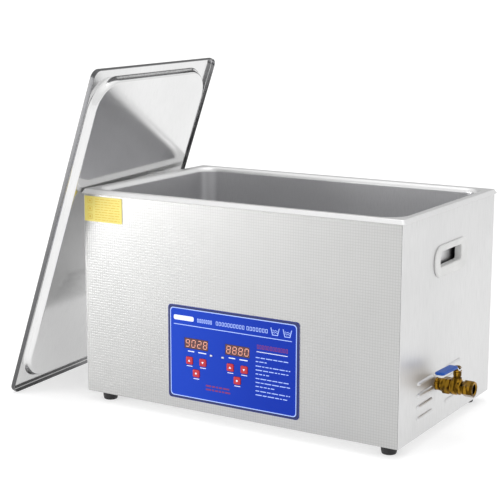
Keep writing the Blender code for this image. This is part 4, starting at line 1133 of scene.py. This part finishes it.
def lid_place():
    """The lid's frame: it stands on its lower lip and leans on the rim."""
    tilt, yaw, roll = (math.radians(angle) for angle in (LID_TILT, LID_YAW, LID_ROLL))
    across_lid = Vector((0, 1, 0))
    along_lid = Vector((math.sin(tilt), 0, math.cos(tilt)))
    inward = Vector((math.cos(tilt), 0, -math.sin(tilt)))
    lean = Matrix((across_lid, along_lid, inward)).transposed()
    turn = Matrix.Rotation(yaw, 3, "Z") @ lean @ Matrix.Rotation(roll, 3, "Z")
    origin = MIDDLE + Vector((*LID_PLACE, LID_LIP * math.sin(tilt)))
    return Matrix.Translation(origin * MM) @ turn.to_4x4()


def lid_ring(half_x, half_y, radius, height):
    points = rounded_ring(half_x, half_y, radius, height, 20)
    return [(x + LID_SIZE[0] / 2, y + LID_SIZE[1] / 2, z) for x, y, z in points]


def lid(place):
    """Pressed tray: sunk middle, sloped wall with soft bends, flat flange and folded lip."""
    half_w, half_l = LID_SIZE[0] / 2, LID_SIZE[1] / 2
    depth = LID_DISH - LID_SHEET
    rings = []
    steps = 10
    for step in range(steps + 1):
        share = step / steps
        inset = LID_FLANGE + LID_SLOPE * (1 - share)
        drop = depth * (0.5 + 0.5 * math.cos(math.pi * share))
        corner = LID_DISH_CORNER - LID_SLOPE * (1 - share)
        rings.append(lid_ring(half_w - inset, half_l - inset, corner, drop))
    for inset, height in ((2.0, 0.0), (1.0, 0.2), (0.35, 0.8), (0.0, 1.8), (0.0, LID_LIP)):
        rings.append(lid_ring(half_w - inset, half_l - inset, LID_CORNER - inset, height))
    tray = raw("pressed_lid", loft(rings, flip=True), "lid_steel")
    soften(tray, sheet=LID_SHEET)
    tray.data.materials.append(PAINTS["lip_painted_shade_steel"])
    tray.data.materials.append(PAINTS["edge_painted_shade_steel"])
    # painted shade: the folded lip's faces take the darker copies of the lid steel, those nearest the outer
    # edge the darkest
    for face in tray.data.polygons:
        spot = face.center / MM
        across = max(abs(spot.x - half_w) - half_w + LID_CORNER, 0)
        along = max(abs(spot.y - half_l) - half_l + LID_CORNER, 0)
        from_edge = LID_CORNER - math.hypot(across, along)
        if from_edge < LID_SHEET + 0.1 and spot.z > 1.0:
            face.material_index = 1 if from_edge > LID_SHEET / 2 else 2
    seat(tray, "lid", ("lid",), place)


def lid_handle(place):
    """Bent bar with a flanged foot at each end, and a screw head inside the lid behind each."""
    low, high = LID_SIZE[1] / 2 - 55.0, LID_SIZE[1] / 2 + 55.0
    base = LID_DISH - LID_SHEET - GAP
    top = base - 25.0
    x = LID_SIZE[0] / 2
    bm = bmesh.new()
    path = smooth_path([(low, base), (low, top), (high, top), (high, base)], 12.0, 10)
    rings = []
    for number, point in enumerate(path):
        before, after = path[max(number - 1, 0)], path[min(number + 1, len(path) - 1)]
        ahead = (after - before).normalized()
        out = Vector((-ahead.y, ahead.x))
        ring = []
        for step in range(24):
            angle = 2 * math.pi * step / 24
            spot = point + out * 5.0 * math.sin(angle)
            ring.append((x + 5.0 * math.cos(angle), spot.x, spot.y))
        rings.append(ring)
    bm = loft(rings, fill_first=True, fill_last=True)
    for y in (low, high):
        flange = [(0, 0), (8.6, 0), (9.0, -0.5), (9.0, -1.2), (8.4, -1.8), (6.2, -2.2)]
        flange += [(5.0, -4.0), (0, -4.0)]
        turned(flange, "Z", (x, y, base), 40, bm)
    face_out(bm)
    piece("handle_bar", bm, "bright_steel", body="lid", nodes=("lid_handle",), place=place, angle=45)
    for name, y in (("handle_screw_lower", low), ("handle_screw_upper", high)):
        screw_head(name, (x, y, LID_DISH + GAP), place)


def screw_head(node, spot, place):
    """A pan head with a cross recess."""
    dome = [(0, 2.6), (1.6, 2.5), (3.0, 2.1), (4.0, 1.4), (4.6, 0.5), (4.6, 0), (2.2, 0)]
    dome += [(2.2, -12.0), (0, -12.0)]
    bm = turned(dome, "Z", spot, 40)
    face_out(bm)
    head = raw(f"{node}_head", bm, "machined_steel")
    for size in ((2.6, 0.45), (0.45, 2.6)):
        cross = add_box(
            bmesh.new(), (spot[0] - size[0], spot[1] - size[1], spot[2] + 1.2),
            (spot[0] + size[0], spot[1] + size[1], spot[2] + 4.0),
        )
        combine(head, raw("cross", cross, "brass"))
    seat(soften(head, bevel=0.1, angle=40), "lid", (node,), place)


# ---------------------------------------------------------------- rear


def fan():
    dress("fan_frame", "black_plastic", 0.4)
    rotor()
    guard()


def rotor():
    """Domed hub with seven curved, pitched blades."""
    low, high = span("fan_rotor")
    low, high = low - MIDDLE, high - MIDDLE
    near, far = low.y + 3.3, high.y
    hub = [
        (0, far), (12.0, far), (15.0, far - 0.8), (16.5, far - 2.6), (16.5, near), (1.6, near),
        (1.6, low.y), (0, low.y),
    ]
    bm = turned(hub, "Y", (FAN_X, 0, FAN_Z), 56)
    for number in range(7):
        add_fan_blade(bm, near, far, number / 7)
    face_out(bm)
    piece("impeller", bm, "black_plastic", body="rotor", nodes=("fan_rotor",), angle=40)


def add_fan_blade(bm, near, far, share):
    """A thin curved blade from the hub out to its tip, pitched more at the root."""
    rows = []
    span_steps, chord_steps = 8, 8
    for i in range(span_steps + 1):
        radius = 15.5 + (36.0 - 15.5) * i / span_steps
        reach = 0.42 + 0.05 * i / span_steps
        middle = 0.32 * (i / span_steps) ** 1.5
        front, back = [], []
        for j in range(chord_steps + 1):
            part = j / chord_steps
            angle = 2 * math.pi * share + middle + (part - 0.5) * 2 * reach * 0.75
            depth = near + 1.0 + (far - near - 2.0) * (part + 0.12 * math.sin(math.pi * part))
            depth = min(depth, far - 0.6)
            thick = 0.25 + 0.75 * math.sin(math.pi * min(max(part, 0.02), 0.98))
            spot = (FAN_X + radius * math.cos(angle), FAN_Z + radius * math.sin(angle))
            front.append((spot[0], depth + thick / 2, spot[1]))
            back.append((spot[0], depth - thick / 2, spot[1]))
        rows.append([bm.verts.new(p) for p in front + list(reversed(back))])
    count = len(rows[0])
    for a, b in zip(rows, rows[1:]):
        for i in range(count):
            j = (i + 1) % count
            bm.faces.new((a[i], a[j], b[j], b[i]))
    bm.faces.new(rows[0])
    bm.faces.new(list(reversed(rows[-1])))


def guard():
    """Wire guard: five rings welded to four radial wires with eyes for the screws."""
    low, high = span("fan_guard")
    plane = (low.y + high.y) / 2 - MIDDLE.y
    bm = bmesh.new()
    for radius in (37.0, 30.0, 23.0, 16.0, 9.0):
        ring_bar(radius, 0.9, "Y", (FAN_X, plane, FAN_Z), bm)
    for turn in range(4):
        angle = math.pi / 4 + math.pi / 2 * turn
        start = Vector((9.0 * math.cos(angle), 0, 9.0 * math.sin(angle)))
        end = Vector((43.5 * math.cos(angle), 0, 43.5 * math.sin(angle)))
        add_wire(bm, Vector((FAN_X, plane, FAN_Z)) + start, Vector((FAN_X, plane, FAN_Z)) + end, 1.0)
        eye = Vector((FAN_X + 45.8 * math.cos(angle), plane, FAN_Z + 45.8 * math.sin(angle)))
        ring_bar(2.9, 0.9, "Y", eye, bm, 32)
    face_out(bm)
    piece("wire_guard", bm, "bright_steel", nodes=("fan_guard",), angle=50)


def add_wire(bm, start, end, radius):
    step = end - start
    made = bmesh.ops.create_cone(
        bm, cap_ends=True, segments=16, radius1=radius, radius2=radius, depth=step.length
    )
    turn = step.to_track_quat("Z", "Y").to_matrix().to_4x4()
    placed(bm, made["verts"], Matrix.Translation((start + end) / 2) @ turn)


def rear_fittings():
    dress("power_inlet", "black_plastic", 0.3)
    dress("power_switch_frame", "black_plastic", 0.3)
    dress("power_switch_rocker", "red_key", 0.5, 3)


# ---------------------------------------------------------------- inner pieces


def inner_pieces():
    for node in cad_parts:
        if node.startswith("transducer"):
            dress(node, "aluminium", 0.4)
        if node.startswith("heater_") and not node.endswith("lamp"):
            dress(node, "heater_mat", 0.4)
    for node, material, bevel in (
        ("control_board", "circuit_board", 0.15), ("generator_board", "circuit_board", 0.3),
        ("heatsink", "aluminium", 0.3), ("matching_inductor", "ferrite", 0.5),
        ("drain_pipe", "aluminium", 0.0), ("drain_wall_nut", "brass", 0.4),
        ("valve_ball", "bright_steel", 0.0),
    ):
        dress(node, material, bevel)


# ---------------------------------------------------------------- setting


def floor():
    mesh = bpy.data.meshes.new("floor")
    bm = bmesh.new()
    bmesh.ops.create_grid(bm, x_segments=1, y_segments=1, size=200.0)
    bm.to_mesh(mesh)
    bm.free()
    paint = Paint("floor", (0.5, 0.5, 0.5), 0.9, Emission_Color=(1.0, 1.0, 1.0, 1.0), Emission_Strength=0.55)
    mesh.materials.append(paint.material)
    obj = bpy.data.objects.new("floor", mesh)
    bpy.context.scene.collection.objects.link(obj)


def sky():
    """A white room, brighter overhead, with a dark card behind on the left for steel to reflect."""
    world = bpy.data.worlds.new("studio")
    bpy.context.scene.world = world
    world.use_nodes = True
    nodes, links = world.node_tree.nodes, world.node_tree.links

    def ramp(value, start, end, low, high):
        node = nodes.new("ShaderNodeMapRange")
        node.interpolation_type = "SMOOTHSTEP"
        for socket, number in zip(list(node.inputs)[1:5], (start, end, low, high)):
            node.inputs[socket.name].default_value = number
        links.new(value, node.inputs["Value"])
        return node.outputs[0]

    def maths(operation, *values):
        node = nodes.new("ShaderNodeMath")
        node.operation = operation
        for socket, value in zip(node.inputs, values):
            links.new(value, socket)
        return node.outputs[0]

    direction = nodes.new("ShaderNodeTexCoord").outputs["Generated"]
    facing = nodes.new("ShaderNodeVectorMath")
    facing.operation = "DOT_PRODUCT"
    facing.inputs[1].default_value = Vector(CARD_SIDE).normalized()
    links.new(direction, facing.inputs[0])
    split = nodes.new("ShaderNodeSeparateXYZ")
    links.new(direction, split.inputs[0])
    height = split.outputs["Z"]
    beside = ramp(facing.outputs["Value"], 0.72, 0.95, 0.0, 1.0)
    card = maths("MULTIPLY", beside, ramp(height, 0.02, 0.10, 0.0, 1.0))
    room = maths("ADD", ramp(card, 0.0, 1.0, 1.0, CARD_LEVEL), ramp(height, 0.5, 0.9, 0.0, OVERHEAD))
    links.new(room, nodes["Background"].inputs["Strength"])
    nodes["Background"].inputs["Color"].default_value = (1.0, 1.0, 1.0, 1.0)


def lamp(name, spot, aim, size, power):
    light = bpy.data.lights.new(name, "AREA")
    light.shape = "DISK"
    light.size = size
    light.energy = power
    obj = bpy.data.objects.new(name, light)
    bpy.context.scene.collection.objects.link(obj)
    obj.location = spot
    obj.rotation_euler = (Vector(aim) - Vector(spot)).to_track_quat("-Z", "Y").to_euler()


def camera():
    turn, lift, roll = (math.radians(angle) for angle in (VIEW_TURN, VIEW_LIFT, VIEW_ROLL))
    back = Vector((math.sin(turn) * math.cos(lift), -math.cos(turn) * math.cos(lift), math.sin(lift)))
    right = Vector((math.cos(turn), math.sin(turn), 0.0))
    up = back.cross(right)
    axes = Matrix((
        right * math.cos(roll) + up * math.sin(roll), up * math.cos(roll) - right * math.sin(roll), back
    )).transposed()
    data = bpy.data.cameras.new("camera")
    data.lens = LENS
    data.sensor_width = 36.0
    obj = bpy.data.objects.new("camera", data)
    bpy.context.scene.collection.objects.link(obj)
    spot = (MIDDLE + Vector(LOOK_AT)) * MM + back * VIEW_DISTANCE * MM
    obj.matrix_world = Matrix.Translation(spot) @ axes.to_4x4()
    bpy.context.scene.camera = obj


def setting():
    floor()
    sky()
    lamp("key", (-1.55, -1.4, 0.5), (-0.2, 0.0, 0.25), 0.9, 17.0)
    lamp("top", (0.2, -0.1, 2.4), (0.0, 0.0, 0.2), 1.2, 8.0)
    camera()
    bpy.context.scene.view_settings.view_transform = "Standard"


# ---------------------------------------------------------------- assembly


PAINTS = make_paints()


def build():
    panels()
    for side, end in ((-1, "left"), (1, "right")):
        side_sheet(side, f"{end}_sheet")
        hand_trim(side, f"{end}_grip")
    feet()
    tank_skin()
    overlay()
    caution_sticker()
    valve()
    lever()
    place = lid_place()
    lid(place)
    lid_handle(place)
    fan()
    rear_fittings()
    inner_pieces()
    setting()


build()
